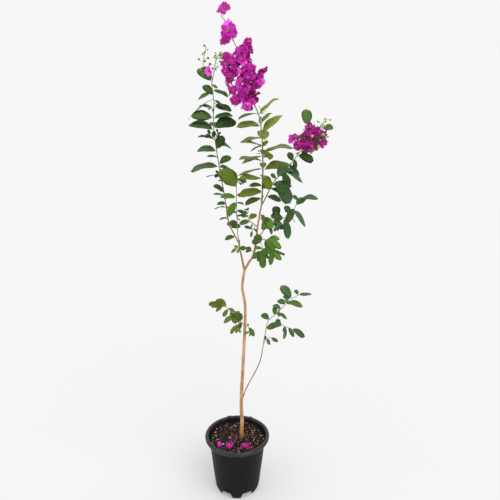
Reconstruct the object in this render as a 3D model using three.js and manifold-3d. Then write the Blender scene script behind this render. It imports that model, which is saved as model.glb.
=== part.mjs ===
// A young crape myrtle in bloom, grown on one trunk in a nursery pot.
// Millimetres, +Z up. The origin is the middle of the flat underside of the pot.
// +X is to the right and -Y is the front. Every piece is one closed solid.

import * as THREE from 'three';
import { mergeVertices } from 'three/addons/utils/BufferGeometryUtils.js';
import Module from 'manifold-3d';

const wasm = await Module();
wasm.setup();

// ---- driving dimensions -------------------------------------------------

const GAP = 0.3; // clear distance between pieces that touch

const POT_HEIGHT = 180;
const RIM_RADIUS = 101; // outside of the rolled lip
const RIM_ROUND = 3; // bevel of the lip's edges
const MOUTH_RADIUS = 90; // inside of the lip, at its top
const LIP_HEIGHT = 11;
const WALL_TOP_RADIUS = 88; // outside of the wall, under the lip
const WALL_KNEE_RADIUS = 71; // where the wall starts to curve in to its foot
const WALL_FOOT_RADIUS = 63.5; // outside of the wall, at the feet
const KNEE_HEIGHT = 22; // of that place
const ANKLE = 9; // height of one more ring in that curve
const WALL = 2; // thickness of the moulding
const FOOT_BEVEL = 0.5; // of the wall's lower edge
const DISH_RADIUS = 38; // flat middle of the floor, which the pot stands on
const STEP_RADIUS = 46; // outside of the sloping step round the dish
const CORNER_INSET = 1; // of the floor's corners on the inside
const ARCH_HEIGHT = 20; // of the raised floor over the drainage arches
const ARCH_TOP = 19; // of the arches themselves
const ARCHES = 6;
const ARCH_ANGLE = 32; // degrees of the wall that one arch takes up
const ARCH_TURN = 29; // degrees from the front to the middle of the first arch
const ARCH_SPLAY = 3; // how far an arch's sides lean out at the foot
const ARCH_SIDE = 9; // height at which its upper corners start
const ARCH_CORNER = 9; // width of an upper corner
const ARCH_LEAN = 2; // how far an upper corner's bend lies in from the side
const CUT_START = 50; // radius at which the cut for an arch starts
const CUT_DEPTH = 28; // from there outwards
const CUT_BELOW = 1; // how far that cut runs below the pot

const SOIL_TOP = 166;
const SOIL_INSET = 1; // of the soil's lower corners
const TRUNK_RADIUS = 5.7; // above the root flare
const ROOT_FLARE = 1.6; // added to the radius at the soil
const FLARE_HEIGHT = 30;

const LEAF_WIDTH = 0.49; // of the leaf's length
const LEAF_THICKNESS = 0.016; // of the leaf's length
const LEAF_FOLD = 0.18; // how far the edges rise, of the half width
const LEAF_MIDDLE = 0.6; // place on the leaf where its distance is measured
const LEAF_APART = 0.18; // least distance of two leaves' middles, of the length
const CLEARANCE = 4; // between a leaf and the limbs of other pieces
const SPOT_STEP = 4; // between the points on a limb that a leaf stays clear of
const TWIG_SIDES = 3;
const GOLDEN_ANGLE = 137.5;

// How far leaves and flowers differ by chance: as shares, or in degrees.
const LEAF_CHANCE = {
  length: [0.95, 1.05], width: [0.9, 1.1], sag: [0.15, 0.35], lift: [-4, 4], face: [-8, 8],
};
const BLOOM_CHANCE = {
  angle: [-20, 20], rise: [5, 40], reach: [0.75, 1.1], size: [0.88, 1.12],
};

const CURVE_TENSION = 0.5;
const MERGE_DISTANCE = 1e-4;
const LATHE_SEGMENTS = 36;

// ---- the limbs, from the soil up ----------------------------------------
// from: the limb that carries it, and how far along that limb it starts.
// route: points on the middle line. girth: radius at the foot and at the end.
// steps: the straight lengths that it is made in.

const LIMBS = {
  trunk: {
    route: [[11, -6, 146], [15, -5, 225], [13, -5, 298], [20, -2, 435],
      [26, 2, 580], [21, 2, 633], [17, 2, 657], [24, 2, 712]],
    girth: [TRUNK_RADIUS, 3.7], sides: 10, steps: 16,
  },
  bough_right: {
    from: ['trunk', 0.992], route: [[37, 0, 733], [49, -3, 752], [57, -8, 792],
      [61, -12, 834], [67, -16, 873], [73, -20, 906]],
    girth: [3.6, 2.2], sides: 8, steps: 10,
  },
  bough_left: {
    from: ['trunk', 0.992], route: [[15, 10, 749], [9, 17, 771], [8, 20, 796]],
    girth: [2.9, 2.4], sides: 8, steps: 6,
  },
  bough_side: {
    from: ['trunk', 0.25], route: [[25, -9, 330], [40, -12, 365], [58, -16, 402],
      [72, -20, 441], [79, -22, 486]],
    girth: [1.9, 1.4], sides: 6, steps: 10,
  },
};

// ---- the masses of leaves and blossom -----------------------------------
// Each mass keeps to its own space, of one box or more, and grows by one rule
// from its stems.
// from: what carries the stem, and how far along it. 'main' is the mass's
//   first stem. A stem from a tip stands clear of it by the gap.
// leaves: a word for each node, foot to tip, evenly over the span. L and R
//   are a leaf to one side, F to the front, K to the back, T at the tip, and
//   a small letter is a young leaf. Marks after it: ^ raised, _ lowered,
//   + longer, - shorter, o open to the front, ~ turned away, = edge on.
//   A dot is a bare node.
// long: leaf lengths, left_lift and right_lift: degrees the leaves rise
//   towards the stem's tip, each spread evenly from the foot to the tip.
// face: degrees by which the blades turn to the front. spread: degrees by
//   which a leaf may swing to the front or the back.
// blooms and buds: how many, wound round the stem by the golden angle, on
//   stalks of the given reach, foot to tip.

const MASSES = {
  shoot_left: {
    seed: 1107, colour: 0x35573a,
    space: [{ x: [-150, 22], y: [15, 104], z: [700, 1262] }],
    stems: [{
      from: ['bough_left', 0.86],
      route: [[-5, 26, 808], [-22, 33, 843], [-30, 38, 893], [-38, 42, 943],
        [-52, 44, 1027], [-61, 40, 1093], [-63, 36, 1137], [-60, 32, 1179], [-65, 28, 1227]],
      girth: [1.9, 1.0], steps: 18, span: [0.05, 0.99],
      leaves: 'l^^ . . r . k . l^-~ . . K l^= l^^- r^^-~ . l^^= l^^^^+~ . . . . . l^+=r____o '
        + '. K L^+~R^^- . . l^^~ . L^^~R^^^^-o . K . L^^-= . . L^^+~R^^+ . K R^^~ L^ '
        + '. . l^+~R- k-o r__~ L_+= l^^^^+ l+~r_+~ . k',
      long: [64], face: 60, spread: 12, left_lift: [0], right_lift: [0],
    }],
  },
  panicle_left: {
    seed: 2203, colour: 0x7c8040,
    space: [{ x: [-130, -22], y: [0, 60], z: [1225, 1345] }],
    stems: [
      {
        from: ['shoot_left', 1],
        route: [[-58, 26, 1258], [-53, 24, 1283], [-42, 19, 1304]],
        girth: [1.1, 0.8], steps: 5, span: [0.4, 1], buds: 11, reach: [10, 15, 8],
      },
      {
        from: ['main', 0.15],
        route: [[-84, 32, 1262], [-88, 34, 1285], [-79, 34, 1324]],
        girth: [1.0, 0.8], steps: 5, span: [0.35, 1], buds: 9, reach: [14, 12, 5],
      },
      {
        from: ['main', 0.1], route: [[-66, 20, 1259]],
        girth: [1.0, 0.8], steps: 1, span: [1, 1], blooms: 1, reach: [3], size: 28,
      },
      {
        from: ['main', 0.03], route: [[-65.2, 27.8, 1233]],
        girth: [1.0, 0.8], steps: 1, span: [1, 1], leaves: 'L', long: [60],
        face: 55, spread: 4, left_lift: [62], right_lift: [0],
      },
    ],
  },
  shoot_middle: {
    seed: 3301, colour: 0x5b7a30,
    space: [{ x: [-60, 40], y: [-8, 14], z: [800, 1022] }],
    stems: [{
      from: ['bough_left', 0.93],
      route: [[5, 12, 808], [3, 4, 849], [2, 3, 898], [2, 3, 948], [4, 3, 990]],
      girth: [1.3, 0.8], steps: 8, span: [0.22, 0.99],
      leaves: 'L^^^^- . . . . L^^~ r^~ . . r_ . . . r-~ L___-o . L^~ k . . . L^^^^+++o . . . '
        + 'k . . . L^^^+~',
      long: [50], face: 60, spread: 12, left_lift: [0], right_lift: [0],
    }],
  },
  shoot_leader: {
    seed: 4409, colour: 0x6c8432,
    space: [
      { x: [-20, 160], y: [-82, -9], z: [894, 1200] },
      { x: [54, 94], y: [-82, -14], z: [878, 894] },
      { x: [44, 160], y: [-9, 66], z: [948, 1200] },
    ],
    stems: [{
      from: ['bough_right', 1],
      route: [[74, -22, 941], [75, -25, 997], [74, -25, 1047], [72, -22, 1091],
        [65, -18, 1134], [58, -15, 1154]],
      girth: [2.1, 1.4], steps: 10, span: [0.05, 0.985],
      leaves: 'L-~f+^o . . L~ . l^~ . . L^~F_-o K . R^^+~ L= . k L^= . L-~ R^^+= K r^^^^-~ '
        + 'L^~l-~ . . L^-~ R^^^+~ . K . L^R^^^-~ . . k-o R^^~ L^-~ .',
      long: [72], face: 40, spread: 12, left_lift: [0], right_lift: [0],
    }],
  },
  panicle_main: {
    seed: 9369, colour: 0xb31fa4,
    space: [{ x: [-64, 100], y: [-72, 48], z: [1147, 1426] }],
    stems: [
      {
        from: ['shoot_leader', 1],
        route: [[42, -13, 1189], [29, -11, 1225], [22, -9, 1265], [11, -7, 1300],
          [-1, -5, 1323], [-8, -4, 1340], [-23, -2, 1374], [-35, 0, 1390], [-30, -2, 1396]],
        girth: [1.4, 0.9], steps: 14, span: [0.06, 0.58],
        blooms: 26, reach: [14, 24, 30, 28, 20, 12], size: 32, buds: 3,
      },
      {
        from: ['main', 0.24], route: [[54, -12, 1221], [76, -14, 1236]],
        girth: [1.1, 0.9], steps: 2, span: [0.45, 1], blooms: 9, reach: [14, 15], size: 29,
      },
      {
        from: ['main', 0.14],
        route: [[6, -14, 1208], [-12, -14, 1226], [-15, -12, 1258], [-15, -12, 1290]],
        girth: [1.1, 0.9], steps: 6, span: [0.3, 1],
        blooms: 15, reach: [12, 18, 12], size: 28, buds: 2,
      },
      {
        from: ['main', 0.1], route: [[18, -16, 1194], [0, -18, 1188], [-7, -20, 1170]],
        girth: [1.1, 0.9], steps: 3, span: [0.4, 1], blooms: 9, reach: [12, 16], size: 28,
      },
      {
        from: ['main', 0.04], route: [[40, -30, 1176], [29, -38, 1161]],
        girth: [1.1, 0.9], steps: 2, span: [0.4, 1], blooms: 7, reach: [10, 14], size: 28,
      },
      {
        from: ['main', 0.5], route: [[26, -7, 1303], [28, -7, 1326]],
        girth: [1.1, 0.9], steps: 2, span: [0.3, 1], blooms: 9, reach: [17, 16, 8], size: 26,
      },
      {
        from: ['main', 0.72], route: [[-14, -14, 1351]],
        girth: [1.0, 0.8], steps: 1, span: [1, 1], blooms: 1, reach: [2], size: 46,
      },
      {
        from: ['main', 0.97], route: [[-25, -6, 1402]],
        girth: [1.0, 0.8], steps: 1, span: [1, 1], blooms: 1, reach: [3], size: 40, buds: 1,
      },
      {
        from: ['main', 0.7], route: [[-22, -7, 1338], [-33, -8, 1326]],
        girth: [1.0, 0.8], steps: 2, span: [0.6, 1],
        blooms: 3, reach: [9, 8], size: 24,
      },
      {
        from: ['main', 0.44], route: [[-14, -14, 1282], [-42, -16, 1282]],
        girth: [1.0, 0.8], steps: 2, span: [0.7, 1], buds: 6, reach: [12, 11],
      },
    ],
  },
  shoot_right: {
    seed: 6607, colour: 0x31502f,
    space: [{ x: [70, 270], y: [-125, -30], z: [895, 1044] }],
    stems: [{
      from: ['bough_right', 0.96],
      route: [[80, -31, 915], [90, -48, 938], [101, -62, 962], [114, -72, 978],
        [132, -78, 996], [147, -80, 1014], [169, -82, 1042]],
      girth: [1.7, 1.1], steps: 12, span: [0.175, 0.96],
      leaves: 'R^^-= . F_ . L^ R^-= l_ R^^= . . K_+ l^-o L^^^^^o . K . R^^= . . K . . '
        + 'l^^o r___-o . R^^-o l-o',
      long: [54], face: 60, spread: 12, left_lift: [0], right_lift: [0],
    }],
  },
  panicle_right: {
    seed: 10348, colour: 0xa32a95,
    space: [{ x: [135, 268], y: [-140, -20], z: [1030, 1166] }],
    stems: [
      {
        from: ['shoot_right', 1],
        route: [[188, -82, 1066], [205, -80, 1084], [228, -76, 1112]],
        girth: [1.2, 0.9], steps: 5, span: [0.08, 0.74],
        leaves: 'Lo_ R__o . R_ . R__', long: [34, 30, 34], face: 80, spread: 14,
        left_lift: [30], right_lift: [0],
        blooms: 13, reach: [16, 28, 32, 22], size: 28, buds: 4,
      },
      {
        from: ['main', 0.12], route: [[160, -86, 1064], [150, -88, 1076]],
        girth: [1.0, 0.8], steps: 2, span: [0.4, 1], blooms: 4, reach: [10, 10], size: 24,
      },
      {
        from: ['main', 0.6], route: [[222, -74, 1108], [236, -72, 1124]],
        girth: [1.0, 0.8], steps: 2, span: [0.3, 1], buds: 8, reach: [14, 11],
      },
      {
        from: ['main', 0.4], route: [[186, -70, 1090], [186, -66, 1108]],
        girth: [1.0, 0.8], steps: 3, span: [0.2, 1], leaves: 'R T',
        long: [46, 54], face: 78, spread: 6, left_lift: [60], right_lift: [64],
      },
      {
        from: ['main', 0.6], route: [[228, -70, 1098]],
        girth: [1.0, 0.8], steps: 1, span: [0.6, 1], leaves: 'R T',
        long: [30, 34], face: 70, spread: 10, left_lift: [30], right_lift: [10],
      },
    ],
  },
  twig_right: {
    seed: 8803, colour: 0x2f5233,
    space: [{ x: [62, 262], y: [-6, 112], z: [770, 945] }],
    stems: [{
      from: ['bough_right', 0.48],
      route: [[78, 12, 822], [81, 24, 833], [99, 40, 848], [126, 54, 852], [149, 64, 857],
        [169, 70, 873], [180, 73, 896], [190, 75, 908]],
      girth: [1.5, 0.8], steps: 12, span: [0.22, 1],
      leaves: '. . L^ . lr_ . K . r^^^+o . Lo . K . RoL____-o . F . l^+o . K . '
        + 'L_____-o R^^^^^-~ . . l R^^^^~',
      long: [56], face: 60, spread: 12, left_lift: [0], right_lift: [0],
    }],
  },
  spray_front: {
    seed: 9901, colour: 0x3d6a38,
    space: [{ x: [40, 150], y: [-118, -22], z: [722, 830] }],
    stems: [
      {
        from: ['bough_right', 0.44],
        route: [[70, -34, 804], [84, -42, 805], [97, -50, 787], [101, -54, 771]],
        girth: [1.4, 0.9], steps: 8, span: [0.3, 1],
        leaves: '. . . . l___+ol______+o R^^^o L^^^^^r^^^^+ r^^^^^^+ . L-o . . . . K . . L^-~ '
          + 'l^^^+r^^^^^o .',
        long: [50], face: 62, spread: 12, left_lift: [0], right_lift: [0],
      },
      {
        from: ['main', 0.25], route: [[73, -38, 790], [76, -42, 773]],
        girth: [1.0, 0.8], steps: 3, span: [0.3, 1],
        leaves: '. . . . . r__ . R^^^^^-or^+ol^^^^-o',
        long: [48], face: 66, spread: 12, left_lift: [0], right_lift: [0],
      },
    ],
  },
  spray_cross: {
    seed: 1213, colour: 0x3f7034,
    space: [{ x: [-45, 56], y: [-64, -14], z: [745, 805] }],
    stems: [{
      from: ['bough_right', 0.29],
      route: [[37, -22, 777], [14, -34, 780], [2, -38, 779]],
      girth: [1.0, 0.7], steps: 5, span: [0.2, 1],
      leaves: 'L^^^^ R^^^^^^+ . . . . . R^^^^^L^^^^^^- . . . . . . l^^^o R^^-o '
        + 'L^^^^^^-o .',
      long: [24], face: 60, spread: 12, left_lift: [0], right_lift: [0],
    }],
  },
  spray_inner: {
    seed: 1319, colour: 0x3b6033,
    space: [
      { x: [-25, 54], y: [-78, -13], z: [806, 892] },
      { x: [54, 66], y: [-78, -13], z: [806, 878] },
    ],
    stems: [
      {
        from: ['bough_right', 0.67],
        route: [[40, -34, 857], [34, -38, 872], [35, -40, 888]],
        girth: [1.2, 0.8], steps: 6, span: [0.2, 1],
        leaves: '. . . l-o R__ . . . L^^^~ . R^^ . . . l^^ . . l^^ . . L^- r^^+o',
        long: [34], face: 60, spread: 12, left_lift: [0], right_lift: [0],
      },
      {
        from: ['main', 0.16], route: [[50, -34, 836], [45, -38, 828]],
        girth: [0.9, 0.7], steps: 3, span: [0.4, 1],
        leaves: '. . . l_- R~ . l^^^^^o .',
        long: [28], face: 60, spread: 12, left_lift: [0], right_lift: [0],
      },
    ],
  },
  spray_heart: {
    seed: 1423, colour: 0x34572f,
    space: [
      { x: [66, 94], y: [-104, -16], z: [806, 878] },
      { x: [94, 160], y: [-104, -16], z: [806, 892] },
    ],
    stems: [
      {
        from: ['bough_right', 0.8],
        route: [[82, -34, 862], [99, -48, 868], [112, -56, 882]],
        girth: [1.2, 0.8], steps: 5, span: [0.15, 1],
        leaves: 'R^^^^^^++~R^^^^^ R^^^^^^ L__-o . . L^o . . . . . R^^^^^^o . . . . . . '
          + 'L^^^^^+ .',
        long: [34], face: 60, spread: 12, left_lift: [0], right_lift: [0],
      },
      {
        from: ['main', 0.4], route: [[108, -52, 856], [131, -58, 850]],
        girth: [1.0, 0.8], steps: 4, span: [0.2, 1],
        leaves: '. . . . . . L^-r^^o . . r___+o . l^',
        long: [36], face: 66, spread: 12, left_lift: [0], right_lift: [0],
      },
    ],
  },
  spray_low_left: {
    seed: 1511, colour: 0x557530,
    space: [{ x: [-100, 20], y: [-80, 45], z: [520, 660] }],
    stems: [
      {
        from: ['trunk', 0.69],
        route: [[11, -14, 558], [-4, -24, 577], [-18, -28, 595], [-31, -30, 609], [-50, -30, 615]],
        girth: [1.3, 0.8], steps: 7, span: [0.2, 1],
        leaves: 'R^^^^^++l___+ . . . . K . L^^= . . . . L_____ . l_+or____ R^^^^^^+~ . K '
          + 'L^^^^^^l^^^+ . R^^^^^^= K',
        long: [36], face: 62, spread: 12, left_lift: [0], right_lift: [0],
      },
      {
        from: ['main', 0.2], route: [[2, -24, 548]],
        girth: [1.0, 0.7], steps: 1, span: [0.4, 1],
        leaves: 'ro l^^^^^^+o T',
        long: [30], face: 70, spread: 12, left_lift: [0], right_lift: [0],
      },
    ],
  },
  spray_low_mid: {
    seed: 1613, colour: 0x4a742f,
    space: [{ x: [22, 70], y: [-60, 30], z: [480, 575] }],
    stems: [{
      from: ['trunk', 0.685],
      route: [[34, -10, 540], [39, -16, 526], [38, -18, 514]],
      girth: [1.0, 0.8], steps: 4, span: [0.3, 1],
      leaves: 'l^^^o L^^^^^-o . r . To',
      long: [32], face: 66, spread: 12, left_lift: [0], right_lift: [0],
    }],
  },
  spray_low_right: {
    seed: 1721, colour: 0x3f7038,
    space: [{ x: [45, 250], y: [-95, 70], z: [462, 700] }],
    stems: [
      {
        from: ['bough_side', 1],
        route: [[85, -20, 521], [93, -15, 557], [113, -10, 575], [132, -5, 592],
          [159, 5, 617], [184, 10, 630]],
        girth: [1.3, 0.8], steps: 12, span: [0.38, 1],
        leaves: '. L^-o . . . . l^^^o R^^-~ . . K . l_+ . . . l+o R^^^~ . K . . L+o . . . . '
          + 'loR^^^^^-=',
        long: [48], face: 62, spread: 12, left_lift: [0], right_lift: [0],
      },
      {
        from: ['main', 0.27],
        route: [[101, -30, 557], [118, -40, 563], [138, -46, 555], [160, -50, 548]],
        girth: [1.0, 0.7], steps: 6, span: [0.3, 1],
        leaves: '. . K . . R____o R_____- r^-o F r^^^^+o . R^^^^^^=',
        long: [40], face: 66, spread: 12, left_lift: [0], right_lift: [0],
      },
      {
        from: ['main', 0.03], route: [[95, -32, 514], [112, -36, 508]],
        girth: [1.0, 0.6], steps: 3, span: [0.3, 1],
        leaves: 'l^^^+= r__+o . R^^^^^^-o . K',
        long: [28], face: 70, spread: 12, left_lift: [0], right_lift: [0],
      },
    ],
  },
};

// Blossoms that have dropped on the soil: place of the middle, and width.
const FALLEN_HEIGHT = 0.24; // of the middle above the soil, of the radius
const FALLEN = {
  fallen_blossom_middle: { place: [24, -46], size: 30 },
  fallen_blossom_left: { place: [-22, -45], size: 30 },
  fallen_blossom_edge: { place: [-54, -38], size: 18 },
};

// ---- closed solids ------------------------------------------------------

function solidOf(geometry) {
  const bare = geometry.clone();
  bare.deleteAttribute('normal');
  bare.deleteAttribute('uv');
  const merged = mergeVertices(bare, MERGE_DISTANCE);
  return new wasm.Manifold(new wasm.Mesh({
    numProp: 3,
    vertProperties: new Float32Array(merged.attributes.position.array),
    triVerts: new Uint32Array(merged.index.array),
  }));
}

function meshOf(solid, name, look) {
  const { vertProperties, triVerts } = solid.getMesh();
  const geometry = new THREE.BufferGeometry();
  geometry.setAttribute('position', new THREE.Float32BufferAttribute(vertProperties, 3));
  geometry.setIndex(Array.from(triVerts));
  geometry.computeVertexNormals();
  const mesh = new THREE.Mesh(geometry, new THREE.MeshStandardMaterial(look));
  mesh.name = name;
  return mesh;
}

// Joins the pieces, and drops loose scraps and sealed hollows.
function fuse(pieces) {
  const bodies = wasm.Manifold.union(pieces).decompose();
  bodies.sort((one, other) => other.volume() - one.volume());
  return bodies[0];
}

// Moves each point of a geometry to the place that the rule gives for it.
function reshape(geometry, rule) {
  const position = geometry.attributes.position;
  const point = new THREE.Vector3();
  for (let i = 0; i < position.count; i += 1) {
    point.fromBufferAttribute(position, i);
    const moved = rule(point);
    position.setXYZ(i, moved.x, moved.y, moved.z);
  }
  return geometry;
}

// ---- numbers ------------------------------------------------------------

const radians = (degrees) => degrees * Math.PI / 180;

// A repeatable row of random numbers between low and high.
function dice(seed) {
  let state = seed;
  return (low, high) => {
    state = (state * 16807) % 2147483647;
    return low + (high - low) * state / 2147483647;
  };
}

// The value at u, from 0 to 1, of numbers that are spread evenly.
function blend(values, u) {
  const place = Math.min(Math.max(u, 0), 1) * (values.length - 1);
  const step = Math.min(Math.floor(place), values.length - 2);
  if (step < 0) return values[0];
  return values[step] + (values[step + 1] - values[step]) * (place - step);
}

// ---- stems --------------------------------------------------------------

function curveOf(route) {
  const points = route.map((point) => new THREE.Vector3(...point));
  return new THREE.CatmullRomCurve3(points, false, 'catmullrom', CURVE_TENSION);
}

// The stem's direction, and its right hand side and front seen from -Y.
function frameAt(curve, u) {
  const along = curve.getTangentAt(u);
  const right = new THREE.Vector3(0, 1, 0).cross(along).normalize();
  const front = right.clone().cross(along);
  return { along, right, front };
}

// A round limb that tapers along its curve. Extra is added all round.
function limbSolid(limb, extra = 0) {
  const curve = curveOf(limb.route);
  const length = curve.getLength();
  const rod = new THREE.CylinderGeometry(1, 1, 1, limb.sides ?? TWIG_SIDES, limb.steps);
  reshape(rod, ({ x, y, z }) => {
    const u = Math.min(Math.max(y + 0.5, 0), 1);
    const { along, right, front } = frameAt(curve, u);
    const radius = blend(limb.girth, u) + (limb.flare?.(u * length) ?? 0) + extra;
    const end = u === 0 ? -extra : (u === 1 ? extra : 0);
    return curve.getPointAt(u).addScaledVector(along, end)
      .addScaledVector(right, x * radius).addScaledVector(front, z * radius);
  });
  return solidOf(rod);
}

// The middle of a stem's solid at u, which is straight from step to step.
function middleOf(curve, steps, u) {
  const step = Math.min(Math.floor(u * steps), steps - 1);
  const start = curve.getPointAt(step / steps);
  return start.lerp(curve.getPointAt((step + 1) / steps), u * steps - step);
}

// ---- leaves -------------------------------------------------------------

// Where a leaf lies: its foot on the stem, the way it points, its upper side.
function leafPose({ along, right, front }, side, lift, turn, face) {
  const outward = right.clone().multiplyScalar(side * Math.cos(turn))
    .addScaledVector(front, Math.sin(turn));
  const heading = outward.multiplyScalar(Math.cos(lift)).addScaledVector(along, Math.sin(lift));
  const upper = along.clone().multiplyScalar(Math.cos(face))
    .addScaledVector(front, Math.sin(face));
  upper.addScaledVector(heading, -upper.dot(heading)).normalize();
  return { heading, upper, across: heading.clone().cross(upper) };
}

// A point of the leaf, from 0 at its foot to 1 at its tip, sagging as it goes.
function leafPoint(leaf, u, sideways, height) {
  return leaf.foot.clone().addScaledVector(leaf.heading, leaf.length * u)
    .add(new THREE.Vector3(0, 0, -leaf.sag * leaf.length * u * u))
    .addScaledVector(leaf.across, sideways).addScaledVector(leaf.upper, height);
}

// Rings of a leaf from its tip to its foot: place along it, half width, thickness.
const LEAF_RINGS = [
  { u: 1, half: 0, thick: 0 }, { u: 0.74, half: 0.9, thick: 1 },
  { u: 0.3, half: 0.94, thick: 1.8 }, { u: -0.008, half: 0, thick: 0 },
];

function leafSolid(leaf) {
  const rings = LEAF_RINGS.length - 1;
  const halfWidth = leaf.length * leaf.width / 2;
  const halfThickness = leaf.length * LEAF_THICKNESS / 2;
  const ball = new THREE.SphereGeometry(1, 4, rings);
  reshape(ball, ({ x, y, z }) => {
    const row = Math.round(Math.acos(THREE.MathUtils.clamp(y, -1, 1)) / Math.PI * rings);
    const { u, half, thick } = LEAF_RINGS[row];
    const size = Math.hypot(x, z);
    if (size < MERGE_DISTANCE) return leafPoint(leaf, u, 0, 0);
    const sideways = half * halfWidth * x / size;
    const lift = thick * halfThickness * z / size + LEAF_FOLD * Math.abs(sideways);
    return leafPoint(leaf, u, sideways, lift);
  });
  return solidOf(ball);
}

// Whether a ball of this radius stays in one of the boxes of a mass's space.
function ballFits(centre, radius, space) {
  return space.some((box) => ['x', 'y', 'z'].every(
    (axis) => centre[axis] - radius > box[axis][0] && centre[axis] + radius < box[axis][1],
  ));
}

// Places tested on a leaf: along it, and to the side in half widths.
const LEAF_SPOTS = [[0.3, 0], [0.65, 0], [1, 0], [0.5, 1], [0.5, -1]];

// Whether a leaf stays in its mass's space, clear of the other limbs and apart
// from the leaves that the mass already has.
function leafFits(leaf, space, limbs, grown) {
  const half = leaf.length * leaf.width / 2;
  const middle = leafPoint(leaf, LEAF_MIDDLE, 0, 0);
  if (grown.some((other) => other.distanceTo(middle) < LEAF_APART * leaf.length)) return false;
  const spots = LEAF_SPOTS.map(([u, sideways]) => leafPoint(leaf, u, sideways * half, 0));
  return spots.every((spot) => ballFits(spot, 0, space) && limbs.every(
    ({ points, radius }) => points.every(
      (point) => point.distanceTo(spot) > radius + CLEARANCE,
    ),
  ));
}

const LEAF_WORD = /([LRFKT])([\^_+\-o~=]*)/gi;
const FRONT_TURN = 78; // degrees, of a leaf to the front or the back
const TIP_LIFT = 88; // degrees, of a leaf at the tip
const LEAF_SIDES = { L: [-1, 0], R: [1, 0], F: [1, FRONT_TURN], K: [1, -FRONT_TURN], T: [0, 0] };
const MARK_LIFT = 15; // degrees, for one mark
const MARK_FACE = { o: 88, '~': 28, '=': 14 }; // degrees, in place of the stem's own
const YOUNG_LENGTH = 0.55; // as a share
const LONGER = 1.25; // for one mark
const SHORTER = 0.8;
const TURNS = [0, 30, -30, 60, -60]; // tried in this order until the leaf fits
const PAIR_OFFSET = 0.012; // a leaf to the right sits a little higher

function growLeaves(stem, space, limbs, grown, roll) {
  const curve = curveOf(stem.route);
  const nodes = stem.leaves.split(' ');
  const solids = [];
  nodes.forEach((node, i) => {
    const part = nodes.length > 1 ? i / (nodes.length - 1) : 1;
    for (const [, letter, marks] of node.matchAll(LEAF_WORD)) {
      const [side, facing] = LEAF_SIDES[letter.toUpperCase()];
      const count = (mark) => marks.split(mark).length - 1;
      const age = letter > 'Z' ? YOUNG_LENGTH : 1;
      const share = age * LONGER ** count('+') * SHORTER ** count('-');
      const length = blend(stem.long, part) * share * roll(...LEAF_CHANCE.length);
      const lifts = side < 0 ? stem.left_lift : stem.right_lift;
      const raised = blend(lifts, part) + MARK_LIFT * (count('^') - count('_'));
      const lift = side === 0 ? TIP_LIFT : raised + roll(...LEAF_CHANCE.lift);
      const turn = facing + stem.spread * roll(-1, 1);
      const held = [...marks].find((mark) => mark in MARK_FACE);
      const face = (MARK_FACE[held] ?? stem.face) + roll(...LEAF_CHANCE.face);
      const sag = roll(...LEAF_CHANCE.sag);
      const width = LEAF_WIDTH * roll(...LEAF_CHANCE.width);
      const u = Math.min(stem.span[0] + (stem.span[1] - stem.span[0]) * part
        + (side > 0 ? PAIR_OFFSET : 0), 1);
      const frame = frameAt(curve, u);
      const foot = middleOf(curve, stem.steps, u);
      for (const extra of TURNS) {
        const turned = radians(turn + extra);
        const pose = leafPose(frame, side || 1, radians(lift), turned, radians(face));
        const leaf = { ...pose, foot, length, width, sag };
        if (leafFits(leaf, space, limbs, grown)) {
          grown.push(leafPoint(leaf, LEAF_MIDDLE, 0, 0));
          solids.push(leafSolid(leaf));
          break;
        }
      }
    }
  });
  return solids;
}

// ---- blossom ------------------------------------------------------------

const PETALS = 6;
const STALK_RADIUS = 0.7;
const STALK_FOOT = 0.35;
const STALK_SUNK = 0.3; // how far a stalk's foot lies past the stem's middle
const BLOOM_APART = 1.25; // least distance of two flowers, of the radius
const BLOOM_INSIDE = 0.8; // share of a flower's radius that keeps to the space
const BUD_RADIUS = 3;
const BUD_REACH = 1.15; // of the reach of a flower
const BLOOM_TURN = new THREE.Vector3(0, -0.45, 0.1); // towards the light
const NO_FACING = new THREE.Vector3(0.3, 0.2, 1); // a direction that no flower faces

// Rings of a flower from its middle to the foot of its stalk.
//   forward: place along the way it faces, by its radius. reach: of its radius.
const BLOOM_RINGS = [
  { forward: 0.1, reach: 0 }, { forward: 0.3, reach: 1 }, { forward: -0.22, reach: 0.14 },
];

// A flower on its stalk: a dish with a corner for each petal, then the stalk.
function bloomSolid(foot, head, facing, radius, roll) {
  const across = NO_FACING.clone().cross(facing).normalize();
  const upright = facing.clone().cross(across);
  const twist = roll(0, Math.PI);
  const rings = BLOOM_RINGS.length;
  const ball = new THREE.SphereGeometry(1, PETALS, rings);
  reshape(ball, ({ x, y, z }) => {
    const row = Math.round(Math.acos(THREE.MathUtils.clamp(y, -1, 1)) / Math.PI * rings);
    if (row === rings) return foot.clone();
    const { forward, reach } = BLOOM_RINGS[row];
    const swing = twist - Math.atan2(z, x);
    return head.clone().addScaledVector(facing, radius * forward)
      .addScaledVector(across, radius * reach * Math.cos(swing))
      .addScaledVector(upright, radius * reach * Math.sin(swing));
  });
  return solidOf(ball);
}

// A bud on its stalk, as one spindle that swells at its end.
function budSolid(foot, head, radius) {
  return limbSolid({
    route: [foot.toArray(), head.toArray()], girth: [STALK_FOOT, STALK_RADIUS, radius, STALK_FOOT],
    steps: 3,
  });
}

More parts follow.
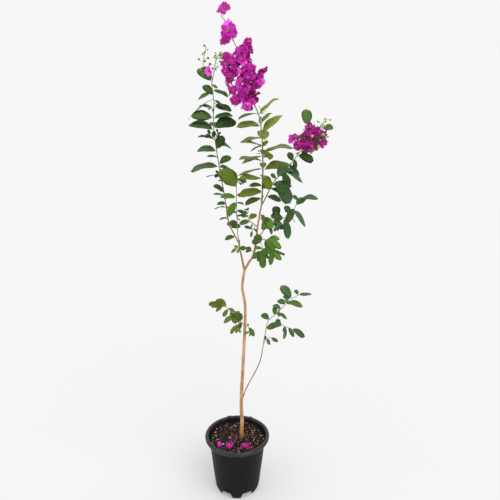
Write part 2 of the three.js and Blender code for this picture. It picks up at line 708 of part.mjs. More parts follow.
// Flowers, then buds, wound round a stem.
function growBlossom(stem, space, grown, roll) {
  const curve = curveOf(stem.route);
  const solids = [];
  let winds = 0;
  for (const kind of ['blooms', 'buds']) {
    const count = stem[kind] ?? 0;
    for (let i = 0; i < count; i += 1) {
      const part = count > 1 ? i / (count - 1) : 1;
      const u = stem.span[0] + (stem.span[1] - stem.span[0]) * part;
      const { along, right, front } = frameAt(curve, u);
      winds += 1;
      const angle = radians(GOLDEN_ANGLE * winds + roll(...BLOOM_CHANCE.angle));
      const rise = radians(roll(...BLOOM_CHANCE.rise));
      const reach = blend(stem.reach, part) * roll(...BLOOM_CHANCE.reach);
      const size = roll(...BLOOM_CHANCE.size);
      const heading = right.multiplyScalar(Math.cos(angle)).addScaledVector(front, Math.sin(angle))
        .multiplyScalar(Math.cos(rise)).addScaledVector(along, Math.sin(rise));
      const middle = middleOf(curve, stem.steps, u);
      const foot = middle.clone().addScaledVector(heading, -STALK_SUNK);
      if (kind === 'buds') {
        const head = middle.clone().addScaledVector(heading, reach * BUD_REACH);
        if (ballFits(head, BUD_RADIUS, space)) solids.push(budSolid(foot, head, BUD_RADIUS * size));
      } else {
        const head = middle.clone().addScaledVector(heading, reach);
        const facing = heading.clone().add(BLOOM_TURN).normalize();
        const radius = stem.size / 2 * size;
        const apart = grown.every((other) => other.distanceTo(head) > BLOOM_APART * radius);
        if (apart && ballFits(head, radius * BLOOM_INSIDE, space)) {
          grown.push(head);
          solids.push(bloomSolid(foot, head, facing, radius, roll));
        }
      }
    }
  }
  return solids;
}

// ---- the plant ----------------------------------------------------------

const BARK = { color: 0xb58a5c, roughness: 0.8, metalness: 0 };

LIMBS.trunk.flare = (height) => ROOT_FLARE * Math.exp(-height / FLARE_HEIGHT);

// Puts the first point of a stem's route on what carries it.
function rootStem(stem, main) {
  if (!stem.from) return;
  const [name, u] = stem.from;
  const parent = name === 'main' ? main : (LIMBS[name] ?? MASSES[name].stems[0]);
  const curve = curveOf(parent.route);
  const start = middleOf(curve, parent.steps, u);
  if (u === 1) start.addScaledVector(frameAt(curve, 1).along, GAP);
  stem.route.unshift(start.toArray());
}

for (const limb of Object.values(LIMBS)) rootStem(limb);
for (const mass of Object.values(MASSES)) {
  for (const stem of mass.stems) rootStem(stem, mass.stems[0]);
}

const limbSolids = {};
for (const [name, limb] of Object.entries(LIMBS)) {
  let solid = limbSolid(limb);
  if (name === 'trunk') solid = solid.trimByPlane([0, 0, 1], SOIL_TOP + GAP);
  for (const earlier of Object.keys(limbSolids)) {
    solid = solid.subtract(limbSolid(LIMBS[earlier], GAP));
  }
  limbSolids[name] = fuse([solid]);
}

// Points on a limb, for keeping the leaves of other masses clear of it.
function spotsOn(limb) {
  const curve = curveOf(limb.route);
  const count = Math.ceil(curve.getLength() / SPOT_STEP);
  return { points: curve.getSpacedPoints(count), radius: limb.girth[0] };
}

const limbSpots = Object.fromEntries(
  Object.entries(LIMBS).map(([name, limb]) => [name, spotsOn(limb)]),
);
const stemSpots = Object.fromEntries(
  Object.entries(MASSES).map(([name, mass]) => [name, mass.stems.map(spotsOn)]),
);

function growMass(name, mass) {
  const roll = dice(mass.seed);
  const others = Object.entries(stemSpots).filter(([other]) => other !== name);
  const limbs = [...Object.values(limbSpots), ...others.flatMap(([, spots]) => spots)];
  const pieces = [];
  const leaves = [];
  const flowers = [];
  for (const stem of mass.stems) {
    pieces.push(limbSolid(stem));
    if (stem.leaves) pieces.push(...growLeaves(stem, mass.space, limbs, leaves, roll));
    if (stem.blooms || stem.buds) pieces.push(...growBlossom(stem, mass.space, flowers, roll));
  }
  let solid = fuse(pieces);
  for (const limb of Object.values(LIMBS)) {
    solid = solid.subtract(limbSolid(limb, GAP));
  }
  return fuse([solid]);
}

// ---- pot and soil -------------------------------------------------------

function latheSolid(profile) {
  const points = profile.map(([radius, height]) => new THREE.Vector2(radius, height));
  const turned = new THREE.LatheGeometry(points, LATHE_SEGMENTS).rotateX(Math.PI / 2);
  return solidOf(turned);
}

// Outside of the wall: it curves out of the foot up to its knee, then runs straight.
function wallAt(height) {
  if (height < KNEE_HEIGHT) {
    const below = 1 - height / KNEE_HEIGHT;
    return WALL_KNEE_RADIUS - (WALL_KNEE_RADIUS - WALL_FOOT_RADIUS) * below * below;
  }
  const above = (height - KNEE_HEIGHT) / (POT_HEIGHT - LIP_HEIGHT - KNEE_HEIGHT);
  return WALL_KNEE_RADIUS + (WALL_TOP_RADIUS - WALL_KNEE_RADIUS) * above;
}

function potSolid() {
  const lip = POT_HEIGHT - LIP_HEIGHT;
  const shelf = ARCH_HEIGHT + WALL;
  const shell = latheSolid([
    [0, 0], [DISH_RADIUS, 0], [STEP_RADIUS, ARCH_HEIGHT], [wallAt(ARCH_HEIGHT) - WALL, ARCH_HEIGHT],
    [wallAt(ANKLE) - WALL, ANKLE], [wallAt(0) - WALL, 0], [wallAt(0) - FOOT_BEVEL, 0],
    [wallAt(WALL), WALL], [wallAt(ANKLE), ANKLE], [wallAt(KNEE_HEIGHT), KNEE_HEIGHT],
    [wallAt(lip), lip], [RIM_RADIUS - RIM_ROUND, lip], [RIM_RADIUS, lip + RIM_ROUND],
    [RIM_RADIUS, POT_HEIGHT - RIM_ROUND], [RIM_RADIUS - RIM_ROUND, POT_HEIGHT],
    [MOUTH_RADIUS, POT_HEIGHT], [wallAt(lip) - WALL, lip], [wallAt(shelf) - WALL, shelf],
    [STEP_RADIUS - CORNER_INSET, shelf], [DISH_RADIUS - CORNER_INSET, WALL], [0, WALL],
  ]);
  const side = WALL_FOOT_RADIUS * Math.sin(radians(ARCH_ANGLE / 2));
  const arch = new THREE.Shape();
  arch.moveTo(-side - ARCH_SPLAY, -CUT_BELOW);
  arch.lineTo(side + ARCH_SPLAY, -CUT_BELOW);
  arch.lineTo(side, ARCH_SIDE);
  arch.quadraticCurveTo(side - ARCH_LEAN, ARCH_TOP, side - ARCH_CORNER, ARCH_TOP);
  arch.lineTo(ARCH_CORNER - side, ARCH_TOP);
  arch.quadraticCurveTo(ARCH_LEAN - side, ARCH_TOP, -side, ARCH_SIDE);
  arch.closePath();
  const depth = { depth: CUT_DEPTH, bevelEnabled: false, curveSegments: 2 };
  const cutter = new THREE.ExtrudeGeometry(arch, depth);
  cutter.translate(0, 0, CUT_START).rotateX(Math.PI / 2);
  let pot = shell;
  for (let i = 0; i < ARCHES; i += 1) {
    const turned = cutter.clone().rotateZ(radians(ARCH_TURN + i * 360 / ARCHES));
    pot = pot.subtract(solidOf(turned));
  }
  return fuse([pot]);
}

function soilSolid() {
  const floor = WALL + GAP;
  const shelf = ARCH_HEIGHT + WALL + GAP;
  return latheSolid([
    [0, floor], [DISH_RADIUS - CORNER_INSET - SOIL_INSET, floor],
    [STEP_RADIUS - CORNER_INSET - SOIL_INSET, shelf], [wallAt(shelf) - WALL - SOIL_INSET, shelf],
    [wallAt(SOIL_TOP) - WALL - GAP, SOIL_TOP], [0, SOIL_TOP],
  ]);
}

// ---- the whole part -----------------------------------------------------

const part = new THREE.Group();
part.add(meshOf(potSolid(), 'pot', { color: 0x26282a, roughness: 0.5, metalness: 0 }));
part.add(meshOf(soilSolid(), 'soil', { color: 0x2b211d, roughness: 1, metalness: 0 }));
for (const [name, solid] of Object.entries(limbSolids)) part.add(meshOf(solid, name, BARK));
for (const [name, mass] of Object.entries(MASSES)) {
  part.add(meshOf(growMass(name, mass), name, { color: mass.colour, roughness: 0.6, metalness: 0 }));
}
for (const [name, { place, size }] of Object.entries(FALLEN)) {
  const height = SOIL_TOP + GAP + size / 2 * FALLEN_HEIGHT;
  const head = new THREE.Vector3(...place, height);
  const foot = head.clone().setZ(SOIL_TOP + GAP);
  const solid = bloomSolid(foot, head, new THREE.Vector3(0, 0, 1), size / 2, dice(size));
  part.add(meshOf(solid, name, { color: 0xb31fa4, roughness: 0.7, metalness: 0 }));
}

export default part;
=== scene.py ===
# A young crape myrtle in bloom, grown on one trunk in a nursery pot.
# Metres, +Z up. The origin is the middle of the flat underside of the pot, and
# the front is -Y. Plant sizes are written in millimetres and turned by MM.

import itertools
import math
import re

import bpy
import numpy as np
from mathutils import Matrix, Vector, noise


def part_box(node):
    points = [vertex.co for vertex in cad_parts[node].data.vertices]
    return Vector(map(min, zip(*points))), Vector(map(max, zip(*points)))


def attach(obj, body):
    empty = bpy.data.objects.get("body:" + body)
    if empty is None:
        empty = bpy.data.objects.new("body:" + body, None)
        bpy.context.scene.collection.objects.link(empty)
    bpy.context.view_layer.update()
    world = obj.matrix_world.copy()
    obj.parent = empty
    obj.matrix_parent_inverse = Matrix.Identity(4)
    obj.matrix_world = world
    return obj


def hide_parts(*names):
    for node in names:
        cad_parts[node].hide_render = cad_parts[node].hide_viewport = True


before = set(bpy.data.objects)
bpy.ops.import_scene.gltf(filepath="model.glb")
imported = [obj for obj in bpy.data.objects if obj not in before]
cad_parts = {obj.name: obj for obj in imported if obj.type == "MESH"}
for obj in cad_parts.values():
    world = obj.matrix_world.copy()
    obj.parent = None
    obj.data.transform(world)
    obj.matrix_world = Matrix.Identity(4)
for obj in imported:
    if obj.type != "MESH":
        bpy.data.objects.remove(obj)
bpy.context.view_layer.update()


# ---- The pot -----------------------------------------------------------------
# A nursery pot, blow moulded in one piece from black polypropylene. Its lip is
# rolled over for carrying, and arches between six feet let the water run out.

MM = 0.001

POT_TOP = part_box("pot")[1].z / MM
RIM_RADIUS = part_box("pot")[1].x / MM
LIP_HEIGHT = 11
MOUTH_RADIUS = 90.5  # inside the lip
WALL = 2
WALL_TOP_RADIUS = 88  # outside, under the lip
WALL_KNEE_RADIUS = 71  # where the wall starts to curve in to its foot
WALL_FOOT_RADIUS = 63.5  # outside, at the feet
KNEE_HEIGHT = 22
DISH_RADIUS = 38  # of the low middle of the floor
STEP_RADIUS = 46  # where the floor has risen to the height of the arches
ARCH_HEIGHT = 20
ARCHES = 6
ARCH_ANGLE = 31  # degrees of the wall that one arch takes up
ARCH_FLANK = 7  # degrees that each side of an arch takes to rise
ARCH_TURN = -61  # degrees from +X to the middle of the first arch
POT_SEGMENTS = 288
RING_STEP = 8  # greatest distance between two rings of the wall
SEAM_TURN = -34  # degrees from +X to the mould's parting line
SEAM_WIDTH = 1.3
SEAM_HEIGHT = 0.35
UNEVENNESS = 0.7  # how far the wall may be out of round
LUG_TURNS = (64, 108)  # degrees from +X to the two lifting lugs of the lip
LUG_ANGLE = 5
LUG_HEIGHT = 2.4


def linear(code):
    """An sRGB hex colour as linear red, green, blue and alpha."""
    parts = [int(code[i:i + 2], 16) / 255 for i in (1, 3, 5)]
    return (*[p / 12.92 if p <= 0.04045 else ((p + 0.055) / 1.055) ** 2.4 for p in parts], 1)


def new_material(name):
    """A material, and the function that adds a shader node to it.

    An input is a value, or what the function gave for another node: its output.
    """
    material = bpy.data.materials.new(name)
    material.use_nodes = True
    tree = material.node_tree
    tree.nodes.clear()

    def add(kind, inputs, output=0, **settings):
        made = tree.nodes.new("ShaderNode" + kind)
        for setting, value in settings.items():
            setattr(made, setting, value)
        for socket, value in inputs.items():
            if isinstance(value, bpy.types.NodeSocket):
                tree.links.new(value, made.inputs[socket])
            else:
                made.inputs[socket].default_value = value
        return made.outputs[output] if len(made.outputs) else None

    return material, add


def finish_material(add, relief, strength, depth, surface):
    """The last nodes of each finish: its relief, that many mm deep, its surface and output."""
    bump = add("Bump", {"Height": relief, "Strength": strength, "Distance": depth * MM})
    add("OutputMaterial", {"Surface": add("BsdfPrincipled", {**surface, "Normal": bump})})


class Pile:
    """Points and faces of many like bits, in millimetres, for one joined mesh."""

    def __init__(self):
        self.points = []
        self.faces = []
        self.finishes = []

    def add(self, points, faces, finish=0):
        start = len(self.points)
        self.points.extend(points)
        self.faces.extend(tuple(start + corner for corner in face) for face in faces)
        if isinstance(finish, int):
            finish = [finish] * len(faces)
        self.finishes.extend(finish)

    def make(self, name, materials, slot, nodes):
        """The joined piece, which stands for those CAD nodes."""
        mesh = bpy.data.meshes.new(name)
        points = np.array([tuple(point) for point in self.points]) * MM
        mesh.from_pydata(points.tolist(), [], self.faces)
        for material in materials:
            mesh.materials.append(material)
        mesh.polygons.foreach_set("material_index", self.finishes)
        mesh.polygons.foreach_set("use_smooth", [True] * len(self.faces))
        mesh.update()
        piece = bpy.data.objects.new(name, mesh)
        bpy.context.scene.collection.objects.link(piece)
        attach(piece, "root")
        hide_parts(*nodes)
        return piece


def grid_faces(rows, columns, closed=False):
    """Quads between rows of points. Closed joins each row's end to its start."""
    faces = []
    across = columns if closed else columns - 1
    for i in range(rows - 1):
        for j in range(across):
            k = (j + 1) % columns
            faces.append((i * columns + j, i * columns + k,
                          (i + 1) * columns + k, (i + 1) * columns + j))
    return faces


def rounded(corners, cuts=4):
    """A profile through corners of (radius, height, bend), each bent as a curve."""
    line = []
    for i, (radius, height, bend) in enumerate(corners):
        here = np.array([radius, height], float)
        if bend == 0:
            line.append(here)
            continue
        ends = []
        for other in (corners[i - 1], corners[i + 1]):
            toward = np.array(other[:2], float) - here
            far = np.linalg.norm(toward)
            ends.append(here + toward * min(bend / far, 0.48))
        for k in range(cuts + 1):
            t = k / cuts
            line.append((1 - t) ** 2 * ends[0] + 2 * t * (1 - t) * here + t ** 2 * ends[1])
    return line


def filled(line, step):
    """The profile with points added, so that none are further apart than step."""
    dense = [line[0]]
    for start, end in zip(line, line[1:]):
        count = max(1, math.ceil(np.linalg.norm(end - start) / step))
        dense.extend(start + (end - start) * k / count for k in range(1, count + 1))
    return dense


def smooth_step(value):
    value = min(max(value, 0), 1)
    return value * value * (3 - 2 * value)


def wall_at(height):
    """The wall's outside: it curves out of the foot up to its knee, then runs straight."""
    if height < KNEE_HEIGHT:
        below = 1 - height / KNEE_HEIGHT
        return WALL_KNEE_RADIUS - (WALL_KNEE_RADIUS - WALL_FOOT_RADIUS) * below * below
    above = (height - KNEE_HEIGHT) / (POT_TOP - LIP_HEIGHT - KNEE_HEIGHT)
    return WALL_KNEE_RADIUS + (WALL_TOP_RADIUS - WALL_KNEE_RADIUS) * above


def turn_apart(one, other):
    """The angle between two directions round the pot, in degrees."""
    return abs((one - other + 180) % 360 - 180)


lip = POT_TOP - LIP_HEIGHT
shelf = ARCH_HEIGHT + WALL
foot_heights = (3, 6, 10, 15, KNEE_HEIGHT)
pot_profile = filled(rounded([
    (1, 0, 0), (DISH_RADIUS, 0, 3), (STEP_RADIUS, ARCH_HEIGHT, 3),
    (wall_at(ARCH_HEIGHT) - WALL, ARCH_HEIGHT, 2),
    *[(wall_at(height) - WALL, height, 0) for height in foot_heights[3:0:-1]],
    (wall_at(0) - WALL, 0, 0.8), (wall_at(0), 0, 0.8),
    *[(wall_at(height), height, 0) for height in foot_heights], (wall_at(lip - 14), lip - 14, 2),
    (wall_at(lip - 13) + 0.8, lip - 13, 1), (wall_at(lip) + 0.8, lip, 1.5),
    (RIM_RADIUS - 2, lip, 2.5), (RIM_RADIUS, lip + 4, 3), (RIM_RADIUS - 1.5, POT_TOP, 4),
    (MOUTH_RADIUS, POT_TOP, 3), (wall_at(lip) - WALL, lip - 1, 5),
    (wall_at(shelf) - WALL, shelf, 2), (STEP_RADIUS - 1, shelf, 2), (DISH_RADIUS - 1, WALL, 2),
    (1, WALL, 0),
]), RING_STEP)


def pot_point(radius, height, turn):
    """A point of the pot, with its arches, seam, lugs and slight unevenness."""
    spacing = 360 / ARCHES
    offset = turn_apart((turn - ARCH_TURN) % spacing, 0)
    offset = min(offset, spacing - offset)
    rise = ARCH_HEIGHT * smooth_step((ARCH_ANGLE / 2 + ARCH_FLANK / 2 - offset) / ARCH_FLANK)
    if radius > STEP_RADIUS + 1 and height < ARCH_HEIGHT:
        height = rise + height * (ARCH_HEIGHT - rise) / ARCH_HEIGHT
    if radius > wall_at(height) - WALL / 2 and height > ARCH_HEIGHT:
        seam = min(turn_apart(turn, SEAM_TURN), turn_apart(turn, SEAM_TURN + 180))
        seam_reach = math.radians(seam) * radius / SEAM_WIDTH
        radius += SEAM_HEIGHT * smooth_step(1 - seam_reach)
    if height > lip:
        lug = max(smooth_step(2 - turn_apart(turn, lug) / (LUG_ANGLE / 2)) for lug in LUG_TURNS)
        height += LUG_HEIGHT * lug * (height - lip) / LIP_HEIGHT
    angle = math.radians(turn)
    spot = Vector((math.cos(angle) * 1.3, math.sin(angle) * 1.3, height / 70))
    radius += UNEVENNESS * noise.noise(spot) * smooth_step(height / 60)
    return (radius * math.cos(angle), radius * math.sin(angle), height)


rings = len(pot_profile)
pot_points = [pot_point(radius, height, 360 * k / POT_SEGMENTS)
              for radius, height in pot_profile for k in range(POT_SEGMENTS)]
pot_faces = grid_faces(rings, POT_SEGMENTS, closed=True)
pot_faces.append(tuple(range(POT_SEGMENTS)))
pot_faces.append(tuple(range((rings - 1) * POT_SEGMENTS, rings * POT_SEGMENTS))[::-1])
lip_rings = [radius > MOUTH_RADIUS - 1 and height > lip - 3 for radius, height in pot_profile]
pot_finish = [int(lip_rings[face[0] // POT_SEGMENTS]) for face in pot_faces]
pot_pile = Pile()
pot_pile.add(pot_points, [face[::-1] for face in pot_faces], pot_finish)


def polypropylene(name, shade, dust, rough, speckle, shine):
    """Black blow moulded plastic: an even dark skin with a fine uneven gloss.

    The dust in its hollows greys it a little, in patches some centimetres wide.
    """
    material, add = new_material(name)
    place = add("TexCoord", {}, "Object")
    patches = add("TexNoise", {"Vector": place, "Scale": 1 / (35 * MM), "Detail": 4})
    grain = add("TexNoise", {"Vector": place, "Scale": 1 / (1.5 * MM), "Detail": 2})
    amount = add("MapRange", {"Value": patches, "From Min": 0.42, "From Max": 0.75,
                              "To Max": speckle})
    colour = add("Mix", {"Factor": amount, 6: linear(shade), 7: linear(dust)}, 2,
                 data_type="RGBA")
    gloss = add("MapRange", {"Value": patches, "From Min": 0.3, "From Max": 0.7,
                             "To Min": rough - 0.06, "To Max": rough + 0.08})
    finish_material(add, grain, 0.25, 0.2, {"Base Color": colour, "Roughness": gloss,
                                            "Specular IOR Level": shine})
    return material


pot_wall = polypropylene("polypropylene_wall", "#12100f", "#261f1b", 0.5, 0.4, 0.1)
pot_lip = polypropylene("polypropylene_lip", "#0f1418", "#20272d", 0.25, 0.35, 0.45)
pot_pile.make("nursery_pot", [pot_wall, pot_lip], "pot_plastic", ["pot"])


# ---- The potting mix ---------------------------------------------------------
# Damp composted bark and peat, filled to a thumb's width under the lip. Chips of
# bark and grains of white perlite lie loose on top of it.

SOIL_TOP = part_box("soil")[1].z / MM
SOIL_RADIUS = wall_at(SOIL_TOP) - WALL + 0.4
SOIL_RINGS = 46
SOIL_SEGMENTS = 120
SOIL_FLOOR = WALL + 0.6
SOIL_DEEP = [(SOIL_RADIUS - 0.6, SOIL_TOP - 4), (wall_at(shelf) - 2 * WALL, shelf + 1),
             (STEP_RADIUS - 2, shelf + 1), (DISH_RADIUS - 2, SOIL_FLOOR), (0.01, SOIL_FLOOR)]
SOIL_DIP = 2.5  # mean depth of the surface under the top of its crumbs
SOIL_RELIEF = ((1.1, 4, 3), (1.9, 12, 8), (2.5, 45, 1))  # height, width, layer of chance
MOUND_HEIGHT, MOUND_SPREAD = 3, 500
WALL_ROOM = 3.5  # the loose bits lie this far from the wall
SOIL_SEED = 811
BARK_CHIPS = 2300
CHIP_SHARES = (0.68, 0.91, 0.975)  # where each next colour of chip begins
PERLITE_GRAINS = 190
STAINED_FROM = 0.6  # the share of the perlite that is still white
TRUNK_FOOT = Vector((12, -6))  # where the trunk leaves the soil


def dice(seed):
    """A repeatable row of random numbers, the same rule as the solids have."""
    state = seed

    def roll(low, high):
        nonlocal state
        state = state * 16807 % 2147483647
        return low + (high - low) * state / 2147483647

    return roll


def soil_height(x, y):
    """The soil's surface: crumbs of 4 and 12 mm and a swell, on a mound round the trunk."""
    from_trunk = (Vector((x, y)) - TRUNK_FOOT).length_squared
    height = SOIL_TOP - SOIL_DIP + MOUND_HEIGHT * math.exp(-from_trunk / MOUND_SPREAD)
    for relief, width, layer in SOIL_RELIEF:
        height += relief * noise.noise(Vector((x / width, y / width, layer)))
    return height


soil_rings = [(0.01 + (SOIL_RADIUS - 0.01) * i / (SOIL_RINGS - 1), None)
              for i in range(SOIL_RINGS)]
soil_points = []
for radius, height in soil_rings + SOIL_DEEP:
    for k in range(SOIL_SEGMENTS):
        angle = math.tau * k / SOIL_SEGMENTS
        x, y = radius * math.cos(angle), radius * math.sin(angle)
        soil_points.append((x, y, soil_height(x, y) if height is None else height))
soil_pile = Pile()
soil_pile.add(soil_points, grid_faces(SOIL_RINGS + len(SOIL_DEEP), SOIL_SEGMENTS, closed=True))

CHIP_FACES = [(0, 1, 3, 2), (4, 6, 7, 5), (0, 4, 5, 1), (2, 3, 7, 6), (0, 2, 6, 4), (1, 5, 7, 3)]


def chip_points(place, size, roll):
    """The corners of a broken chip of that size, turned at random and lying at place."""
    spin, tip, lean = roll(0, math.tau), roll(-0.45, 0.45), roll(-0.45, 0.45)
    along = Vector((math.cos(spin), math.sin(spin), tip)).normalized()
    across = Vector((-math.sin(spin), math.cos(spin), lean)).normalized()
    upper = along.cross(across)
    corners = []
    for corner in itertools.product((-0.5, 0.5), repeat=3):
        long, wide, high = [part * roll(0.5, 1.1) for part in corner]
        corners.append(place + along * size[0] * long + across * size[1] * wide
                       + upper * size[2] * high)
    return corners


def soil_spot(roll):
    """A random place on the soil, clear of the pot's wall."""
    reach = (SOIL_RADIUS - WALL_ROOM) * math.sqrt(roll(0, 1))
    angle = roll(0, math.tau)
    x, y = reach * math.cos(angle), reach * math.sin(angle)
    return Vector((x, y, soil_height(x, y)))


chip_pile = Pile()
roll = dice(SOIL_SEED)
for _ in range(BARK_CHIPS):
    large = roll(0, 1) ** 3  # from 0 to 1, and close to 0 on most chips
    size = (2.5 + 6.5 * large, roll(1.2, 2.5) + 2.5 * large, roll(0.6, 1.6))
    spot = soil_spot(roll) + Vector((0, 0, roll(0, 1.1)))
    tone = roll(0, 1)
    finish = sum(tone >= share for share in CHIP_SHARES)
    chip_pile.add(chip_points(spot, size, roll), CHIP_FACES, finish)

perlite_pile = Pile()
for _ in range(PERLITE_GRAINS):
    width = roll(1.0, 2.2) + 2.6 * roll(0, 1) ** 5  # few grains are large
    spot = soil_spot(roll) + Vector((0, 0, roll(0.4, 1.3)))
    size = (width, width * roll(0.7, 1), width * roll(0.6, 0.9))
    corners = chip_points(spot, size, roll)
    perlite_pile.add(corners, CHIP_FACES, int(roll(0, 1) >= STAINED_FROM))


def crumbly(name, dark, light, grain, rough):
    """Bark, peat or stone in crumbs: dull and broken, darker in the hollows of its relief."""
    material, add = new_material(name)
    place = add("TexCoord", {}, "Object")
    crumbs = add("TexNoise", {"Vector": place, "Scale": 1 / (grain * MM), "Detail": 6,
                              "Roughness": 0.7})
    # The same noise gives the colour and the relief: darker in the hollows, paler on the tops.
    amount = add("MapRange", {"Value": crumbs, "From Min": 0.38, "From Max": 0.68})
    colour = add("Mix", {"Factor": amount, 6: linear(dark), 7: linear(light)}, 2,
                 data_type="RGBA")
    finish_material(add, crumbs, 0.6, 0.4, {"Base Color": colour, "Roughness": rough,
                                            "Specular IOR Level": 0.15})
    return material


peat = crumbly("damp_peat", "#120d0b", "#2e211c", 2.5, 0.9)
chip_finishes = [
    crumbly("composted_bark_black", "#150e0d", "#2d1f19", 1.5, 0.85),
    crumbly("composted_bark_brown", "#33221b", "#54392d", 1.5, 0.85),
    crumbly("pine_bark_red", "#4e332a", "#775547", 1.5, 0.8),
    crumbly("pine_bark_tan", "#8a6a50", "#b8967a", 1.5, 0.8),
]
perlite_finishes = [
    crumbly("perlite_white", "#c9bcb6", "#ece2de", 0.8, 0.9),
    crumbly("perlite_stained", "#a08a80", "#c9b4aa", 0.8, 0.9),
]
soil_pile.make("potting_mix", [peat], "potting_mix", ["soil"])
chips = chip_pile.make("bark_chips", chip_finishes, "potting_mix", ["soil"])
chips.data.polygons.foreach_set("use_smooth", [False] * len(chips.data.polygons))
perlite_pile.make("perlite", perlite_finishes, "potting_mix", ["soil"])


# ---- The trunk and the boughs ------------------------------------------------
# One slender trunk forks into two main boughs, and carries a thin bough low on
# its right. The bark is smooth and tan, and sheds in fine upright flakes.

TENSION = 0.5  # of the curve through a route's points
DIVISIONS = 200  # in which a route's length is measured
TANGENT_STEP = 0.0001
GAP = 0.3  # clear distance between the solids of two limbs
TRUNK_RADIUS = 5.7
ROOT_FLARE = 1.6
FLARE_HEIGHT = 30
ROOT_LOBES, LOBE_DEPTH = 3, 0.25
BARK_RELIEF = ((0.32, 1.6, 22, 0), (0.5, 6, 38, 9))  # relief, width, height, layer of chance
SCAR_FIRST, SCAR_STEP = 18, 23  # to the first scar that an old leaf left, and between scars
SCAR_TURN = 0.618  # of a full turn, from one scar to the next
SCAR_PROUD, SCAR_WIDTH = 0.9, 2.2
SCAR_REACH = 6
DAMP_HEIGHT = 26  # of the damp foot above the soil
BARK_FOOT = 8  # how far the bark goes down into the soil
BARK_SIDES = 40
BARK_STEP = 2.2  # between the rings of points up the trunk

LIMBS = {
    "trunk": {
        "route": [[11, -6, 146], [15, -5, 225], [13, -5, 298], [20, -2, 435],
                  [26, 2, 580], [21, 2, 633], [17, 2, 657], [24, 2, 712]],
        "girth": [TRUNK_RADIUS, 3.7], "steps": 16,
    },
    "bough_right": {
        "from": ("trunk", 0.992), "route": [[37, 0, 733], [49, -3, 752], [57, -8, 792],
                                            [61, -12, 834], [67, -16, 873], [73, -20, 906]],
        "girth": [3.6, 2.2], "steps": 10,
    },
    "bough_left": {
        "from": ("trunk", 0.992), "route": [[15, 10, 749], [9, 17, 771], [8, 20, 796]],
        "girth": [2.9, 2.4], "steps": 6,
    },
    "bough_side": {
        "from": ("trunk", 0.25), "route": [[25, -9, 330], [40, -12, 365], [58, -16, 402],
                                           [72, -20, 441], [79, -22, 486]],
        "girth": [1.9, 1.4], "steps": 10,
    },
}


class Route:
    """A smooth line through points, measured along its own length."""

    def __init__(self, points):
        self.points = [Vector(point) for point in points]
        before = 2 * self.points[0] - self.points[1]
        after = 2 * self.points[-1] - self.points[-2]
        self.ends = [before, *self.points, after]
        marks = [self.bend(i / DIVISIONS) for i in range(DIVISIONS + 1)]
        spans = [(end - start).length for start, end in zip(marks, marks[1:])]
        self.lengths = np.concatenate([[0], np.cumsum(spans)])
        self.length = float(self.lengths[-1])

    def bend(self, t):
        place = t * (len(self.points) - 1)
        step = min(int(place), len(self.points) - 2)
        w = place - step
        before, start, end, after = self.ends[step:step + 4]
        leave, arrive = TENSION * (end - before), TENSION * (after - start)
        return (start + leave * w + (3 * (end - start) - 2 * leave - arrive) * w ** 2
                + (2 * (start - end) + leave + arrive) * w ** 3)

    def share(self, u):
        return float(np.interp(u * self.length, self.lengths, np.linspace(0, 1, DIVISIONS + 1)))

    def at(self, u):
        return self.bend(self.share(u))

    def frame(self, u):
        """The direction at u, and its right hand side and front seen from -Y."""
        t = self.share(u)
        ahead, behind = min(t + TANGENT_STEP, 1), max(t - TANGENT_STEP, 0)
        along = (self.bend(ahead) - self.bend(behind)).normalized()
        right = Vector((0, 1, 0)).cross(along).normalized()
        return along, right, right.cross(along)

    def stepped(self, steps, u):
        """The point at u when the line is straight from step to step."""
        step = min(int(u * steps), steps - 1)
        return self.at(step / steps).lerp(self.at((step + 1) / steps), u * steps - step)


def turned(right, front, angle):
    """The direction at that angle from the right hand side towards the front."""
    return right * math.cos(angle) + front * math.sin(angle)


def blend(values, u):
    """The value at u, from 0 to 1, of numbers that are spread evenly."""
    place = min(max(u, 0), 1) * (len(values) - 1)
    step = min(int(place), len(values) - 2)
    if step < 0:
        return values[0]
    return values[step] + (values[step + 1] - values[step]) * (place - step)


def root_stem(stem, parent, share):
    """Puts the first point of a stem's route on what carries it."""
    line = Route(parent["route"])
    start = line.stepped(parent["steps"], share)
    if share == 1:
        start += line.frame(1)[0] * GAP
    stem["route"] = [list(start), *stem["route"]]


def tube(pile, line, radius_at, sides, rings, finish_at=lambda u: 0, low=0.0):
    """A round limb, closed at both ends, whose radius may change with u and angle."""
    points = []
    us = [low + (1 - low) * i / (rings - 1) for i in range(rings)]
    for u in us:
        middle = line.at(u)
        along, right, front = line.frame(u)
        for k in range(sides):
            angle = math.tau * k / sides
            points.append(middle + turned(right, front, angle) * radius_at(u, angle, middle))
    faces = grid_faces(rings, sides, closed=True)
    finishes = [finish_at(us[face[0] // sides]) for face in faces]
    faces.append(tuple(range(sides))[::-1])
    faces.append(tuple(range((rings - 1) * sides, rings * sides)))
    pile.add(points, faces, [*finishes, finishes[0], finishes[-1]])


def bark_radius(name, limb, line):
    """The limb's radius with its flare, old leaf scars and upright flakes."""
    scars = [(s * SCAR_TURN % 1 * math.tau, SCAR_FIRST + s * SCAR_STEP)
             for s in range(int(line.length / SCAR_STEP))]

    def radius_at(u, angle, middle):
        height = u * line.length
        radius = blend(limb["girth"], u)
        if name == "trunk":
            lobes = 1 + LOBE_DEPTH * math.cos(ROOT_LOBES * angle)
            radius += ROOT_FLARE * math.exp(-height / FLARE_HEIGHT) * lobes
        x, y = math.cos(angle) * radius, math.sin(angle) * radius
        relief = sum(proud * noise.noise(Vector((x / width, y / width, middle.z / tall + layer)))
                     for proud, width, tall, layer in BARK_RELIEF)
        for turn, place in scars:
            apart = abs(height - place)
            if apart < SCAR_REACH:
                facing = max(0, math.cos(angle - turn)) ** 3
                relief += SCAR_PROUD * facing * math.exp(-(apart / SCAR_WIDTH) ** 2)
        return radius + relief * radius / TRUNK_RADIUS

    return radius_at


